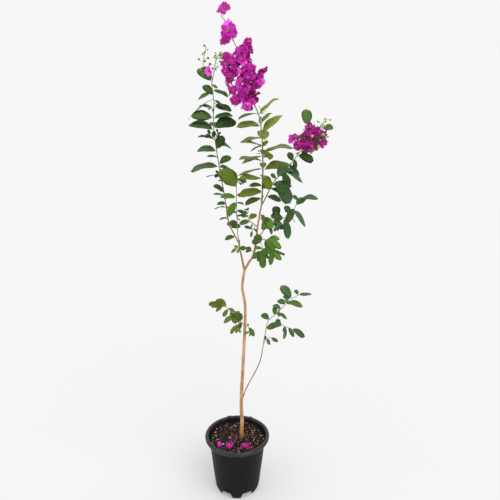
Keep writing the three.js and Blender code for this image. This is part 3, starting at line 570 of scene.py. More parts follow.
def tan_bark(name, pale, tan, brown, streak):
    """Smooth tan bark: pale where a flake has just come off, brown in the streaks.

    Just above the soil it is damp and dark.
    """
    material, add = new_material(name)
    place = add("TexCoord", {}, "Object")
    stretched = add("Mapping", {"Vector": place, "Scale": (1, 1, 0.055)})
    streaks = add("TexNoise", {"Vector": stretched, "Scale": 1 / (streak * MM), "Detail": 5,
                               "Roughness": 0.6})
    flakes = add("TexNoise", {"Vector": place, "Scale": 1 / (26 * MM), "Detail": 3,
                              "Distortion": 0.6})
    pale_share = add("MapRange", {"Value": flakes, "From Min": 0.42, "From Max": 0.66})
    body = add("Mix", {"Factor": pale_share, 6: linear(tan), 7: linear(pale)}, 2,
               data_type="RGBA")
    brown_share = add("MapRange", {"Value": streaks, "From Min": 0.52, "From Max": 0.72,
                                   "To Max": 0.85})
    colour = add("Mix", {"Factor": brown_share, 6: body, 7: linear(brown)}, 2,
                 data_type="RGBA")
    height = add("SeparateXYZ", {"Vector": place}, "Z")
    dry_share = add("MapRange", {"Value": height, "From Min": (SOIL_TOP - 2) * MM,
                                 "From Max": (SOIL_TOP + DAMP_HEIGHT) * MM})
    damp = add("Mix", {"Factor": dry_share, 6: linear("#4a3020"), 7: colour}, 2,
               data_type="RGBA")
    finish_material(add, streaks, 0.5, 0.5, {"Base Color": damp, "Roughness": 0.62,
                                             "Specular IOR Level": 0.25})
    return material


BARKS = {
    "trunk": tan_bark("tan_bark_trunk", "#c9a173", "#ad8053", "#6f4c30", 2.2),
    "bough_right": tan_bark("tan_bark_bough", "#c29767", "#a5764a", "#6d4a30", 1.8),
    "bough_left": tan_bark("olive_bark_bough", "#a58a5c", "#85714a", "#56482f", 1.6),
    "bough_side": tan_bark("red_bark_bough", "#b08a66", "#8f6648", "#5e4030", 1.4),
}

for name, limb in LIMBS.items():
    if "from" in limb:
        root_stem(limb, LIMBS[limb["from"][0]], limb["from"][1])
    line = Route(limb["route"])
    limb["line"] = line
    low = max(0, (SOIL_TOP - BARK_FOOT - line.at(0).z) / line.length)
    rings = int(line.length / BARK_STEP)
    pile = Pile()
    tube(pile, line, bark_radius(name, limb, line), BARK_SIDES, rings, low=low)
    pile.make(name + "_bark", [BARKS[name]], "bark", [name])


# ---- The leafy shoots --------------------------------------------------------
# This year's shoots: thin stems, brown below and green above, with leaves in
# two ranks. A leaf is a smooth oval blade, folded a little along its midrib.

LEAF_WIDTH = 0.49  # of the leaf's length
LEAF_MIDDLE = 0.6  # of its length, from where leaves keep apart
LEAF_APART = 0.18  # of its length
CLEARANCE = 4  # between a leaf and the limbs of others
SPOT_STEP = 4  # between the points of a limb that leaves keep clear of
LEAF_CHANCE = {
    "length": (0.95, 1.05), "width": (0.9, 1.1), "sag": (0.15, 0.35), "lift": (-4, 4),
    "face": (-8, 8),
}
LEAF_SPOTS = [(0.3, 0), (0.65, 0), (1, 0), (0.5, 1), (0.5, -1)]  # along, across
# A word for each node. L and R are a leaf to one side, F to the front, K to the
# back, T at the tip, and a small letter is a young leaf. Marks after it: ^ raised,
# _ lowered, + longer, - shorter, o open to the front, ~ turned away, = edge on.
# A dot is a bare node.
LEAF_WORD = re.compile(r"([LRFKT])([\^_+\-o~=]*)", re.IGNORECASE)
FRONT_TURN = 78  # degrees, as are the next ones
TIP_LIFT = 88
LEAF_SIDES = {"L": (-1, 0), "R": (1, 0), "F": (1, FRONT_TURN), "K": (1, -FRONT_TURN), "T": (0, 0)}
MARK_LIFT = 15
MARK_FACE = {"o": 88, "~": 28, "=": 14}
YOUNG_LENGTH = 0.55
LONGER, SHORTER = 1.25, 0.8
TURNS = [0, 30, -30, 60, -60]  # tried one after the other for a leaf that has no room
PAIR_OFFSET = 0.012  # of the stem, between the two leaves of a pair

PETIOLE = 0.055  # of the leaf's length
PETIOLE_RADIUS = 0.55
BLADE_ROWS = 10
RIB_SHARE = 0.028  # of the half width
BLADE_COLUMNS = [-1, -0.55, -RIB_SHARE, RIB_SHARE, 0.55, 1]
RIB_SUNK, RIB_PROUD = 0.12, 0.35  # above and below the blade
DRY_FROM = 0.68  # where a dry tip begins
BLADE_THICKNESS = 0.45
BLADE_CURL = 0.2
BLADE_CHANCE = {  # drawn in this order; the powers say how drawn out its two ends are
    "wave": (0.03, 0.11), "wave_turn": (0, math.tau), "sweep": (-0.07, 0.07), "hook": (0, 0.14),
    "fold": (0.2, 0.46), "foot_power": (0.6, 0.78), "tip_power": (0.42, 0.62),
}
HOOK_FROM = 0.6  # where the tip starts to bend down
LEAF_SHINE = 0.2  # a thin wax, duller than the 0.5 of plastic
STEM_SIDES = 8
STEM_STEP = 3.5
KNOT_SWELL = 0.22  # of a stem's radius, at each leaf
SHOOT_LENGTH = (10, 26)
SHOOT_LEAVES = (0.35, 0.6, 0.8, 1.0, 1.0)  # where a side shoot bears its leaves
SHOOT_LEAF_LENGTH = (9, 20)

# Tones of the leaves: upper side and under side.
LEAF_TONES = {
    "deep": ("#2a4419", "#546a32"), "dark": ("#385820", "#64793a"),
    # One tone, a greyer and bluer green, is a painted sheen: the grey-blue gloss of some leaves put
    # into their colour.
    "green": ("#41611f", "#6c843a"), "jade": ("#3c5c30", "#607c4c"),
    "fresh": ("#527a20", "#7c943a"), "olive": ("#5a6c18", "#788828"),
    "lime": ("#768e26", "#94a63e"), "dry": ("#74502e", "#886844"),
}
TONES = list(LEAF_TONES)
STEM_TONES = ["#a47e56", "#8f744a", "#727040", "#6f7c42", "#88965a"]


def stem_from(carrier, share, route, steps, span, girth=(1, 0.8), **growth):
    """A stem of a mass: what carries it, how far along that, and its route from there.

    The solid's is straight in so many steps. Span is the part with leaves or blossom.
    """
    return {"from": (carrier, share), "route": route, "steps": steps, "span": span,
            "girth": girth, "spread": 12, "left_lift": [0], "right_lift": [0], **growth}


def foliage(seed, slot, space, wood, *stems, tones="", side_shoots=0, dry=0, **blossom):
    """A mass: the boxes it keeps to, how woody it is from foot to tip, and its stems.

    Tones are its leaves' colours from foot to tip, and dry is the share of brown tips.
    """
    return {"seed": seed, "slot": slot, "space": space, "wood": wood, "stems": stems,
            "tones": tones.split(), "side_shoots": side_shoots, "dry": dry, **blossom}


MASSES = {
    "shoot_left": foliage(
        1107, "leaf_dark", [[[-150, 22], [15, 104], [700, 1262]]], [0.15, 0.9],
        stem_from("bough_left", 0.86, [[-5, 26, 808], [-22, 33, 843], [-30, 38, 893],
                  [-38, 42, 943], [-52, 44, 1027], [-61, 40, 1093], [-63, 36, 1137],
                  [-60, 32, 1179], [-65, 28, 1227]], 18, [0.05, 0.99], [1.9, 1],
                  leaves="l^^ . . r . k . l^-~ . . K l^= l^^- r^^-~ . l^^= l^^^^+~ . . . . . "
                         "l^+=r____o . K L^+~R^^- . . l^^~ . L^^~R^^^^-o . K . L^^-= . . "
                         "L^^+~R^^+ . K R^^~ L^ . . l^+~R- k-o r__~ L_+= l^^^^+ l+~r_+~ . k",
                  long=[64], face=60),
        tones="dark dark jade dark jade deep dark green", side_shoots=6,
    ),
    "panicle_left": foliage(
        2203, "leaf_dark", [[[-130, -22], [0, 60], [1225, 1345]]], [0.6, 0.9],
        stem_from("shoot_left", 1, [[-58, 26, 1258], [-53, 24, 1283], [-42, 19, 1304]], 5, [0.4, 1],
                  [1.1, 0.8], reach=[10, 15, 8], buds=11),
        stem_from("main", 0.15, [[-84, 32, 1262], [-88, 34, 1285], [-79, 34, 1324]], 5, [0.35, 1],
                  reach=[14, 12, 5], buds=9),
        stem_from("main", 0.1, [[-66, 20, 1259]], 1, [1, 1], blooms=1, reach=[3], size=28),
        stem_from("main", 0.03, [[-65.2, 27.8, 1233]], 1, [1, 1], leaves="L", long=[60], face=55,
                  spread=4, left_lift=[62]),
        # The flowers' lightness in this mass is painted light: lighter petals where more light
        # falls.
        tones="green", beside=1, open=0.4, bud_tone=None, bright=[0.4], bud_size=[0.7, 1.05],
    ),
    "shoot_middle": foliage(
        3301, "leaf_olive", [[[-60, 40], [-8, 14], [800, 1022]]], [0.2, 0.9],
        stem_from("bough_left", 0.93, [[5, 12, 808], [3, 4, 849], [2, 3, 898], [2, 3, 948],
                  [4, 3, 990]], 8, [0.22, 0.99], [1.3, 0.8],
                  leaves="L^^^^- . . . . L^^~ r^~ . . r_ . . . r-~ L___-o . L^~ k . . . "
                         "L^^^^+++o . . . k . . . L^^^+~", long=[50], face=60),
        tones="dark green fresh olive fresh", side_shoots=2,
    ),
    "shoot_leader": foliage(
        4409, "leaf_olive", [[[-20, 160], [-82, -9], [894, 1200]],
        [[54, 94], [-82, -14], [878, 894]], [[44, 160], [-9, 66], [948, 1200]]], [0.0, 0.85],
        stem_from("bough_right", 1, [[74, -22, 941], [75, -25, 997], [74, -25, 1047],
                  [72, -22, 1091], [65, -18, 1134], [58, -15, 1154]], 10, [0.05, 0.985], [2.1, 1.4],
                  leaves="L-~f+^o . . L~ . l^~ . . L^~F_-o K . R^^+~ L= . k L^= . L-~ R^^+= K "
                         "r^^^^-~ L^~l-~ . . L^-~ R^^^+~ . K . L^R^^^-~ . . k-o R^^~ L^-~ .",
                  long=[72], face=40),
        tones="green olive olive olive lime olive", side_shoots=4,
    ),
    "panicle_main": foliage(
        9369, "blossom", [[[-64, 100], [-72, 48], [1147, 1426]]], [0.75, 0.6],
        stem_from("shoot_leader", 1, [[42, -13, 1189], [29, -11, 1225], [22, -9, 1265],
                  [11, -7, 1300], [-1, -5, 1323], [-8, -4, 1340], [-23, -2, 1374], [-35, 0, 1390],
                  [-30, -2, 1396]], 14, [0.06, 0.58], [1.4, 0.9], blooms=26,
                  reach=[14, 24, 30, 28, 20, 12], size=32, buds=3),
        stem_from("main", 0.24, [[54, -12, 1221], [76, -14, 1236]], 2, [0.45, 1], [1.1, 0.9],
                  blooms=9, reach=[14, 15], size=29),
        stem_from("main", 0.14, [[6, -14, 1208], [-12, -14, 1226], [-15, -12, 1258],
                  [-15, -12, 1290]], 6, [0.3, 1], [1.1, 0.9], blooms=15, reach=[12, 18, 12],
                  size=28, buds=2),
        stem_from("main", 0.1, [[18, -16, 1194], [0, -18, 1188], [-7, -20, 1170]], 3, [0.4, 1],
                  [1.1, 0.9], blooms=9, reach=[12, 16], size=28),
        stem_from("main", 0.04, [[40, -30, 1176], [29, -38, 1161]], 2, [0.4, 1], [1.1, 0.9],
                  blooms=7, reach=[10, 14], size=28),
        stem_from("main", 0.5, [[26, -7, 1303], [28, -7, 1326]], 2, [0.3, 1], [1.1, 0.9], blooms=9,
                  reach=[17, 16, 8], size=26),
        stem_from("main", 0.72, [[-14, -14, 1351]], 1, [1, 1], blooms=1, reach=[2], size=46),
        stem_from("main", 0.97, [[-25, -6, 1402]], 1, [1, 1], blooms=1, reach=[3], size=47, buds=1),
        stem_from("main", 0.7, [[-22, -7, 1338], [-33, -8, 1326]], 2, [0.6, 1], blooms=3,
                  reach=[9, 8], size=24),
        stem_from("main", 0.44, [[-14, -14, 1282], [-42, -16, 1282]], 2, [0.7, 1], reach=[12, 11],
                  buds=6),
        # The flowers' lightness from foot to top is painted light: lighter petals high up, where
        # more light falls.
        beside=3, open=0.72, bud_tone=None, bright=[-0.1, -0.15, -0.1, 0.1, 0.65],
        bud_size=[0.7, 1.05],
    ),
    "shoot_right": foliage(
        6607, "leaf_dark", [[[70, 270], [-125, -30], [895, 1044]]], [0.3, 0.8],
        stem_from("bough_right", 0.96, [[80, -31, 915], [90, -48, 938], [101, -62, 962],
                  [114, -72, 978], [132, -78, 996], [147, -80, 1014], [169, -82, 1042]], 12,
                  [0.175, 0.96], [1.7, 1.1],
                  leaves="R^^-= . F_ . L^ R^-= l_ R^^= . . K_+ l^-o L^^^^^o . K . R^^= . . K . . "
                         "l^^o r___-o . R^^-o l-o", long=[54], face=60),
        tones="jade dark jade deep", side_shoots=2,
    ),
    "panicle_right": foliage(
        10348, "blossom", [[[135, 268], [-140, -20], [1030, 1166]]], [0.6, 0.8],
        stem_from("shoot_right", 1, [[188, -82, 1066], [205, -80, 1084], [228, -76, 1112]], 5,
                  [0.08, 0.74], [1.2, 0.9], leaves="Lo_ R__o . R_ . R__", long=[34, 30, 34],
                  face=80, spread=14, left_lift=[30], blooms=13, reach=[16, 28, 32, 22], size=28,
                  buds=4),
        stem_from("main", 0.12, [[160, -86, 1064], [150, -88, 1076]], 2, [0.4, 1], blooms=4,
                  reach=[10, 10], size=24),
        stem_from("main", 0.6, [[222, -74, 1108], [236, -72, 1124]], 2, [0.3, 1], reach=[14, 11],
                  buds=8),
        stem_from("main", 0.4, [[186, -70, 1090], [186, -66, 1108]], 3, [0.2, 1], leaves="R T",
                  long=[46, 54], face=78, spread=6, left_lift=[60], right_lift=[64]),
        stem_from("main", 0.6, [[228, -70, 1098]], 1, [0.6, 1], leaves="R T", long=[30, 34],
                  face=70, spread=10, left_lift=[30], right_lift=[10]),
        # The flowers' lightness here is painted shade: darker petals on this less lit panicle.
        tones="dark green", beside=5, open=0.3, bud_tone=3, bright=[-0.35], bud_size=[0.9, 1.5],
    ),
    "twig_right": foliage(
        8803, "leaf_dark", [[[62, 262], [-6, 112], [770, 945]]], [0.2, 0.7],
        stem_from("bough_right", 0.48, [[78, 12, 822], [81, 24, 833], [99, 40, 848], [126, 54, 852],
                  [149, 64, 857], [169, 70, 873], [180, 73, 896], [190, 75, 908]], 12, [0.22, 1],
                  [1.5, 0.8],
                  leaves=". . L^ . lr_ . K . r^^^+o . Lo . K . RoL____-o . F . l^+o . K . "
                         "L_____-o R^^^^^-~ . . l R^^^^~", long=[56], face=60),
        tones="dark deep jade jade", side_shoots=1,
    ),
    "spray_front": foliage(
        9901, "leaf_green", [[[40, 150], [-118, -22], [722, 830]]], [0.3, 0.7],
        stem_from("bough_right", 0.44, [[70, -34, 804], [84, -42, 805], [97, -50, 787],
                  [101, -54, 771]], 8, [0.3, 1], [1.4, 0.9],
                  leaves=". . . . l___+ol______+o R^^^o L^^^^^r^^^^+ r^^^^^^+ . L-o . . . . K . "
                         ". L^-~ l^^^+r^^^^^o .", long=[50], face=62),
        stem_from("main", 0.25, [[73, -38, 790], [76, -42, 773]], 3, [0.3, 1],
                  leaves=". . . . . r__ . R^^^^^-or^+ol^^^^-o", long=[48], face=66),
        tones="green fresh green",
    ),
    "spray_cross": foliage(
        1213, "leaf_green", [[[-45, 56], [-64, -14], [745, 805]]], [0.5, 0.8],
        stem_from("bough_right", 0.29, [[37, -22, 777], [14, -34, 780], [2, -38, 779]], 5, [0.2, 1],
                  [1, 0.7],
                  leaves="L^^^^ R^^^^^^+ . . . . . R^^^^^L^^^^^^- . . . . . . l^^^o R^^-o "
                         "L^^^^^^-o .", long=[24], face=60),
        tones="green green fresh",
    ),
    "spray_inner": foliage(
        1319, "leaf_dark", [[[-25, 54], [-78, -13], [806, 892]],
        [[54, 66], [-78, -13], [806, 878]]], [0.3, 0.7],
        stem_from("bough_right", 0.67, [[40, -34, 857], [34, -38, 872], [35, -40, 888]], 6,
                  [0.2, 1], [1.2, 0.8],
                  leaves=". . . l-o R__ . . . L^^^~ . R^^ . . . l^^ . . l^^ . . L^- r^^+o",
                  long=[34], face=60),
        stem_from("main", 0.16, [[50, -34, 836], [45, -38, 828]], 3, [0.4, 1], [0.9, 0.7],
                  leaves=". . . l_- R~ . l^^^^^o .", long=[28], face=60),
        tones="olive dark jade",
    ),
    "spray_heart": foliage(
        1423, "leaf_dark", [[[66, 94], [-104, -16], [806, 878]],
        [[94, 160], [-104, -16], [806, 892]]], [0.3, 0.7],
        stem_from("bough_right", 0.8, [[82, -34, 862], [99, -48, 868], [112, -56, 882]], 5,
                  [0.15, 1], [1.2, 0.8],
                  leaves="R^^^^^^++~R^^^^^ R^^^^^^ L__-o . . L^o . . . . . R^^^^^^o . . . . . . "
                         "L^^^^^+ .", long=[34], face=60),
        stem_from("main", 0.4, [[108, -52, 856], [131, -58, 850]], 4, [0.2, 1],
                  leaves=". . . . . . L^-r^^o . . r___+o . l^", long=[36], face=66),
        tones="fresh dark jade",
    ),
    "spray_low_left": foliage(
        1511, "leaf_olive", [[[-100, 20], [-80, 45], [520, 660]]], [0.2, 0.8],
        stem_from("trunk", 0.69, [[11, -14, 558], [-4, -24, 577], [-18, -28, 595], [-31, -30, 609],
                  [-50, -30, 615]], 7, [0.2, 1], [1.3, 0.8],
                  leaves="R^^^^^++l___+ . . . . K . L^^= . . . . L_____ . l_+or____ R^^^^^^+~ . "
                         "K L^^^^^^l^^^+ . R^^^^^^= K", long=[36], face=62),
        stem_from("main", 0.2, [[2, -24, 548]], 1, [0.4, 1], [1, 0.7], leaves="ro l^^^^^^+o T",
                  long=[30], face=70),
        tones="green olive olive olive", side_shoots=1, dry=0.15,
    ),
    "spray_low_mid": foliage(
        1613, "leaf_green", [[[22, 70], [-60, 30], [480, 575]]], [0.4, 0.8],
        stem_from("trunk", 0.685, [[34, -10, 540], [39, -16, 526], [38, -18, 514]], 4, [0.3, 1],
                  leaves="l^^^o L^^^^^-o . r . To", long=[32], face=66),
        tones="green fresh green", side_shoots=1, dry=0.3,
    ),
    "spray_low_right": foliage(
        1721, "leaf_green", [[[45, 250], [-95, 70], [462, 700]]], [0.1, 0.8],
        stem_from("bough_side", 1, [[85, -20, 521], [93, -15, 557], [113, -10, 575], [132, -5, 592],
                  [159, 5, 617], [184, 10, 630]], 12, [0.38, 1], [1.3, 0.8],
                  leaves=". L^-o . . . . l^^^o R^^-~ . . K . l_+ . . . l+o R^^^~ . K . . L+o . . "
                         ". . loR^^^^^-=", long=[48], face=62),
        stem_from("main", 0.27, [[101, -30, 557], [118, -40, 563], [138, -46, 555],
                  [160, -50, 548]], 6, [0.3, 1], [1, 0.7],
                  leaves=". . K . . R____o R_____- r^-o F r^^^^+o . R^^^^^^=", long=[40], face=66),
        stem_from("main", 0.03, [[95, -32, 514], [112, -36, 508]], 3, [0.3, 1], [1, 0.6],
                  leaves="l^^^+= r__+o . R^^^^^^-o . K", long=[28], face=70),
        tones="dark green jade jade", side_shoots=1, dry=0.12,
    ),
}


def leafy(name, shade, rough, veined):
    """A waxy leaf skin: a soft gloss that greys it at a low angle, faint veins."""
    material, add = new_material(name)
    place = add("TexCoord", {}, "Object")
    cells = add("TexNoise", {"Vector": place, "Scale": 1 / (9 * MM), "Detail": 3})
    amount = add("MapRange", {"Value": cells, "From Min": 0.3, "From Max": 0.7,
                              "To Min": 0.86, "To Max": 1.16})
    tint = add("HueSaturation", {"Color": linear(shade), "Value": amount})
    veins = add("TexNoise", {"Vector": place, "Scale": 1 / (2.6 * MM), "Detail": 2})
    finish_material(add, veins, veined, 0.3, {"Base Color": tint, "Roughness": rough,
                                              "Specular IOR Level": LEAF_SHINE})
    return material


leaf_materials = []
for tone, (upper, under) in LEAF_TONES.items():
    leaf_materials.append(leafy("leaf_upper_" + tone, upper, 0.4, 0.3))
    leaf_materials.append(leafy("leaf_under_" + tone, under, 0.6, 0.4))
RIB = len(leaf_materials)  # the midrib's place among them
leaf_materials.append(leafy("leaf_midrib", "#587538", 0.5, 0.1))
stem_materials = [leafy(f"green_stem_{i}", shade, 0.55, 0.5)
                  for i, shade in enumerate(STEM_TONES)]


def leaf_pose(stem_frame, side, lift, turn, face):
    """How a leaf is held: where it heads, its upper side and its width, from degrees."""
    along, right, front = stem_frame
    outward = turned(right * side, front, math.radians(turn))
    heading = turned(outward, along, math.radians(lift))
    upper = turned(along, front, math.radians(face))
    upper = (upper - heading * upper.dot(heading)).normalized()
    return {"heading": heading, "upper": upper, "across": heading.cross(upper)}


def leaf_point(leaf, u, sideways, height):
    """A point of the leaf, from 0 at its foot to 1 at its tip, sagging as it goes."""
    length = leaf["length"]
    return (leaf["foot"] + leaf["heading"] * (length * u)
            + Vector((0, 0, -leaf["sag"] * length * u * u))
            + leaf["across"] * sideways + leaf["upper"] * height)


def ball_fits(centre, radius, space):
    """Whether a ball of this radius stays in one of the boxes of a mass's space."""
    return any(all(box[i][0] < centre[i] - radius and centre[i] + radius < box[i][1]
                   for i in range(3)) for box in space)


def finds_room(leaf, space, spots, reaches, grown):
    """The same test as the solids': in its space, clear of limbs, apart from others.

    A leaf that finds room is noted with the grown ones.
    """
    half = leaf["length"] * leaf["width"] / 2
    middle = leaf_point(leaf, LEAF_MIDDLE, 0, 0)
    if any((other - middle).length < LEAF_APART * leaf["length"] for other in grown):
        return False
    for u, sideways in LEAF_SPOTS:
        spot = leaf_point(leaf, u, sideways * half, 0)
        if not ball_fits(spot, 0, space):
            return False
        if (np.linalg.norm(spots - np.array(spot), axis=1) <= reaches).any():
            return False
    grown.append(middle)
    return True


def outline(u, foot_power, tip_power):
    """The blade's half width at u, from 0 to 1: an oval, more pointed for a higher power."""
    widest = foot_power / (foot_power + tip_power)
    u = min(max(u, 0), 1)
    return (u / widest) ** foot_power * ((1 - u) / (1 - widest)) ** tip_power


def blade(pile, leaf, tone, roll, tip_tone=None):
    """A closed leaf: its upper side, under side and midrib, and a short stalk."""
    length, half = leaf["length"], leaf["length"] * leaf["width"] / 2
    wave, wave_turn, sweep, hook, fold, foot_power, tip_power = [
        roll(*limits) for limits in BLADE_CHANCE.values()]
    rows = [i / (BLADE_ROWS - 1) for i in range(BLADE_ROWS)]
    upper, under = [], []
    for part in rows:
        u = PETIOLE + (1 - PETIOLE) * part
        wide = half * outline(part, foot_power, tip_power)
        for s in BLADE_COLUMNS:
            height = wide * (fold * abs(s) - BLADE_CURL * s * s)
            height += half * wave * s * s * math.sin(9 * part + wave_turn + (s > 0) * 2)
            height -= length * hook * max(0, part - HOOK_FROM) ** 2 * 2
            depth = BLADE_THICKNESS * (1 - s * s) * min(1, 4 * (1 - part) + 0.2)
            sunk, proud = (RIB_SUNK, RIB_PROUD) if abs(s) == RIB_SHARE else (0, 0)
            sideways = wide * s + sweep * length * part * part
            upper.append(leaf_point(leaf, u, sideways, height - sunk))
            under.append(leaf_point(leaf, u, sideways, height - depth - proud))
    count, last = len(BLADE_COLUMNS), len(upper)
    faces, finishes = [], []
    for i in range(len(rows) - 1):
        skin = 2 * TONES.index(tip_tone if tip_tone and rows[i] > DRY_FROM else tone)
        for j in range(count - 1):
            a = i * count + j
            corners = (a, a + 1, a + count + 1, a + count)
            below = [corner if corner % count in (0, count - 1) else corner + last
                     for corner in corners]
            faces.extend([(a, *corners[:0:-1]), tuple(below)])
            finishes.extend([RIB, RIB] if j == count // 2 - 1 else [skin, skin + 1])
    pile.add(upper + under, faces, finishes)
    foot, end = leaf_point(leaf, -0.01, 0, 0), leaf_point(leaf, PETIOLE + 0.03, 0, -0.3)
    rings = [middle + turned(leaf["across"], leaf["upper"], math.tau * k / 4) * PETIOLE_RADIUS
             for middle in (foot, foot.lerp(end, 0.5), end) for k in range(4)]
    pile.add(rings, grid_faces(3, 4, closed=True) + [(3, 2, 1, 0), (8, 9, 10, 11)], RIB)


def tone_at(tones, part, roll):
    """A tone from the foot's to the tip's, with a little chance."""
    place = part * (len(tones) - 1) + roll(-0.6, 0.6)
    return tones[min(max(round(place), 0), len(tones) - 1)]


def grow_leaves(stem, mass, near, grown, roll, pile, own):
    """The solids' leaves, in the same places, each as a finer blade."""
    line, nodes = stem["line"], stem["leaves"].split(" ")
    for i, node in enumerate(nodes):
        part = i / (len(nodes) - 1) if len(nodes) > 1 else 1
        for letter, marks in LEAF_WORD.findall(node):
            side, facing = LEAF_SIDES[letter.upper()]
            age = YOUNG_LENGTH if letter.islower() else 1
            share = age * LONGER ** marks.count("+") * SHORTER ** marks.count("-")
            length = blend(stem["long"], part) * share * roll(*LEAF_CHANCE["length"])
            raised = blend(stem["left_lift" if side < 0 else "right_lift"], part)
            raised += MARK_LIFT * (marks.count("^") - marks.count("_"))
            lift = TIP_LIFT if side == 0 else raised + roll(*LEAF_CHANCE["lift"])
            turn = facing + stem["spread"] * roll(-1, 1)
            held = [MARK_FACE[mark] for mark in marks if mark in MARK_FACE] or [stem["face"]]
            face = held[0] + roll(*LEAF_CHANCE["face"])
            sag, width = roll(*LEAF_CHANCE["sag"]), LEAF_WIDTH * roll(*LEAF_CHANCE["width"])
            u = blend(stem["span"], part)
            u = min(u + (PAIR_OFFSET if side > 0 else 0), 1)
            for extra in TURNS:
                leaf = leaf_pose(line.frame(u), side or 1, lift, turn + extra, face)
                leaf |= {"foot": line.stepped(stem["steps"], u), "length": length,
                         "width": width, "sag": sag}
                if finds_room(leaf, mass["space"], *near, grown):
                    leaf["foot"] = line.at(u)
                    tone = tone_at(mass["tones"], part, own)
                    blade(pile, leaf, tone, own, "dry" if own(0, 1) < mass["dry"] else None)
                    break


def grow_side_shoots(stem, mass, near, grown, own, leaf_pile, stem_pile):
    """Young side shoots from the leaves' axils: a short twig with small leaves."""
    line = stem["line"]
    for _ in range(mass["side_shoots"]):
        u = own(stem["span"][0], 0.97)
        along, right, front = line.frame(u)
        outward = turned(right, front, own(0, math.tau))
        heading = (outward + along * own(0.3, 1.1)).normalized()
        foot, long = line.at(u), own(*SHOOT_LENGTH)
        middle = foot + heading * long * 0.5 + Vector((0, 0, own(0, 2)))
        twig = Route([foot, middle, foot + heading * long + Vector((0, 0, own(0, 5)))])
        if not ball_fits(twig.at(1), 0, mass["space"]):
            continue
        tube(stem_pile, twig, lambda u, angle, middle: 0.6 - 0.25 * u, 5, 5, lambda u: 3)
        for k, at in enumerate(SHOOT_LEAVES):
            leaf = leaf_pose(twig.frame(at), -1 if k % 2 else 1, own(15, 60), own(-50, 50),
                             stem["face"] + own(-20, 20))
            leaf |= {"foot": twig.at(at),
                     "length": own(*SHOOT_LEAF_LENGTH) * (1.25 - 0.4 * at),
                     "width": LEAF_WIDTH * own(0.9, 1.15), "sag": own(0, 0.15)}
            if finds_room(leaf, mass["space"], *near, grown):
                blade(leaf_pile, leaf, tone_at(mass["tones"], 0.8, own), own)


def stem_radius(stem):
    """The stem's radius, a little thicker at each leaf."""
    nodes = max(len(stem.get("leaves", "").split(" ")), 2)

    def radius_at(u, angle, middle):
        part = (u - stem["span"][0]) / max(stem["span"][1] - stem["span"][0], 0.01)
        knot = math.cos(math.pi * part * (nodes - 1)) ** 16 if 0 <= part <= 1 else 0
        return blend(stem["girth"], u) * (1 + KNOT_SWELL * knot)

    return radius_at


def stem_tone(mass, stem):
    """Which stem colour a place has: woody at the foot, green at the tip."""
    low, high = mass["wood"]

    def finish_at(u):
        share = low + (high - low) * (u if stem is mass["stems"][0] else 1)
        return min(max(round(share * (len(STEM_TONES) - 1)), 0), len(STEM_TONES) - 1)

    return finish_at


for name, mass in MASSES.items():
    for stem in mass["stems"]:
        carrier, share = stem["from"]
        if carrier == "main":
            parent = mass["stems"][0]
        else:
            parent = LIMBS[carrier] if carrier in LIMBS else MASSES[carrier]["stems"][0]
        root_stem(stem, parent, share)
        stem["line"] = Route(stem["route"])


def spots_on(limb):
    """Points on a limb, with how far leaves of other masses keep from each."""
    count = math.ceil(limb["line"].length / SPOT_STEP)
    reach = limb["girth"][0] + CLEARANCE
    return [(limb["line"].at(i / count), reach) for i in range(count + 1)]


limb_spots = [spot for limb in LIMBS.values() for spot in spots_on(limb)]
stem_spots = {name: [spot for stem in mass["stems"] for spot in spots_on(stem)]
              for name, mass in MASSES.items()}


# ---- The blossom -------------------------------------------------------------
# Loose panicles. Each flower has six crinkled petals on thin claws, set round a
# green cup with a tuft of gold stamens, and round buds open from the foot up.

GOLDEN_ANGLE = 137.5  # degrees round the stem from one flower to the next
BLOOM_CHANCE = {"angle": (-20, 20), "rise": (5, 40), "reach": (0.75, 1.1), "size": (0.88, 1.12)}
BLOOM_APART = 1.25  # of a flower's radius, between two
BLOOM_INSIDE = 0.8  # of its radius, that has to be in the mass's space
BUD_RADIUS = 3
BUD_REACH = 1.15  # of a flower's, from the stem
BLOOM_TURN = Vector((0, -0.45, 0.1))  # flowers turn a little to the front and up
NO_FACING = Vector((0.3, 0.2, 1))  # a direction that no flower faces
LARGE_SIZE = 39  # a flower over this width turns its face to the front
LARGE_TURN = Vector((0.1, -1, 0.1))
PETALS = 6
PETAL_SIZE = (0.78, 1.12)  # of the flower's radius
PETAL_TURN = (-0.24, 0.24)
PETAL_LEAN = (-0.25, 0.7)
PETAL_CHANCE = {  # drawn in this order
    "lift": (0.05, 0.6), "droop": (0.05, 0.6), "waves": (1.2, 2.8), "turn": (0, math.tau),
    "depth": (0.06, 0.15), "span": (0.42, 0.66), "skew": (-0.16, 0.16),
}
CLAW = 0.2  # of the flower's radius
CLAW_WIDTH = 0.07
FAN_ROWS, FAN_COLUMNS = 6, 11
STAMENS = 24
STAMEN_LEAN = (0.1, 0.75)
STAMEN_LENGTH = (0.22, 0.42)  # of the flower's radius
TUFT_SHARE = 0.4  # of the flowers show their stamens
HIDDEN_TUFT = 0.45  # length of the others'
CUP_RADIUS = 0.2  # of the flower's
BUD_SIDES = 12  # of a cup or bud, which has six teeth or ribs
CUP_RINGS = [(-1.5, 0.18), (-1.2, 0.7), (-0.5, 1), (0.15, 0.85)]  # depth and width
BUD_RINGS = [(-1.15, 0.25), (-0.8, 0.72), (-0.1, 1), (0.5, 0.82), (0.88, 0.42), (1.12, 0.05)]
STALK_RADIUS = 0.55
SIDE_STALK_RADIUS = 0.45
STAMEN_RADIUS = 0.22
ANTHER_SIZE = 0.9
# From dark to light: the darker tones are petals in painted shade, the lightest a painted
# highlight.
PETAL_TONES = ["#930f76", "#aa1a8e", "#c42eaa", "#e45fd6"]
PAINTED_PETAL_GLOW = 0.08  # a painted glow of the petal's own colour, standing for light that comes through from behind
ANTHER_FACES = [(0, 2, 4), (2, 1, 4), (1, 3, 4), (3, 0, 4),
                (2, 0, 5), (1, 2, 5), (3, 1, 5), (0, 3, 5)]


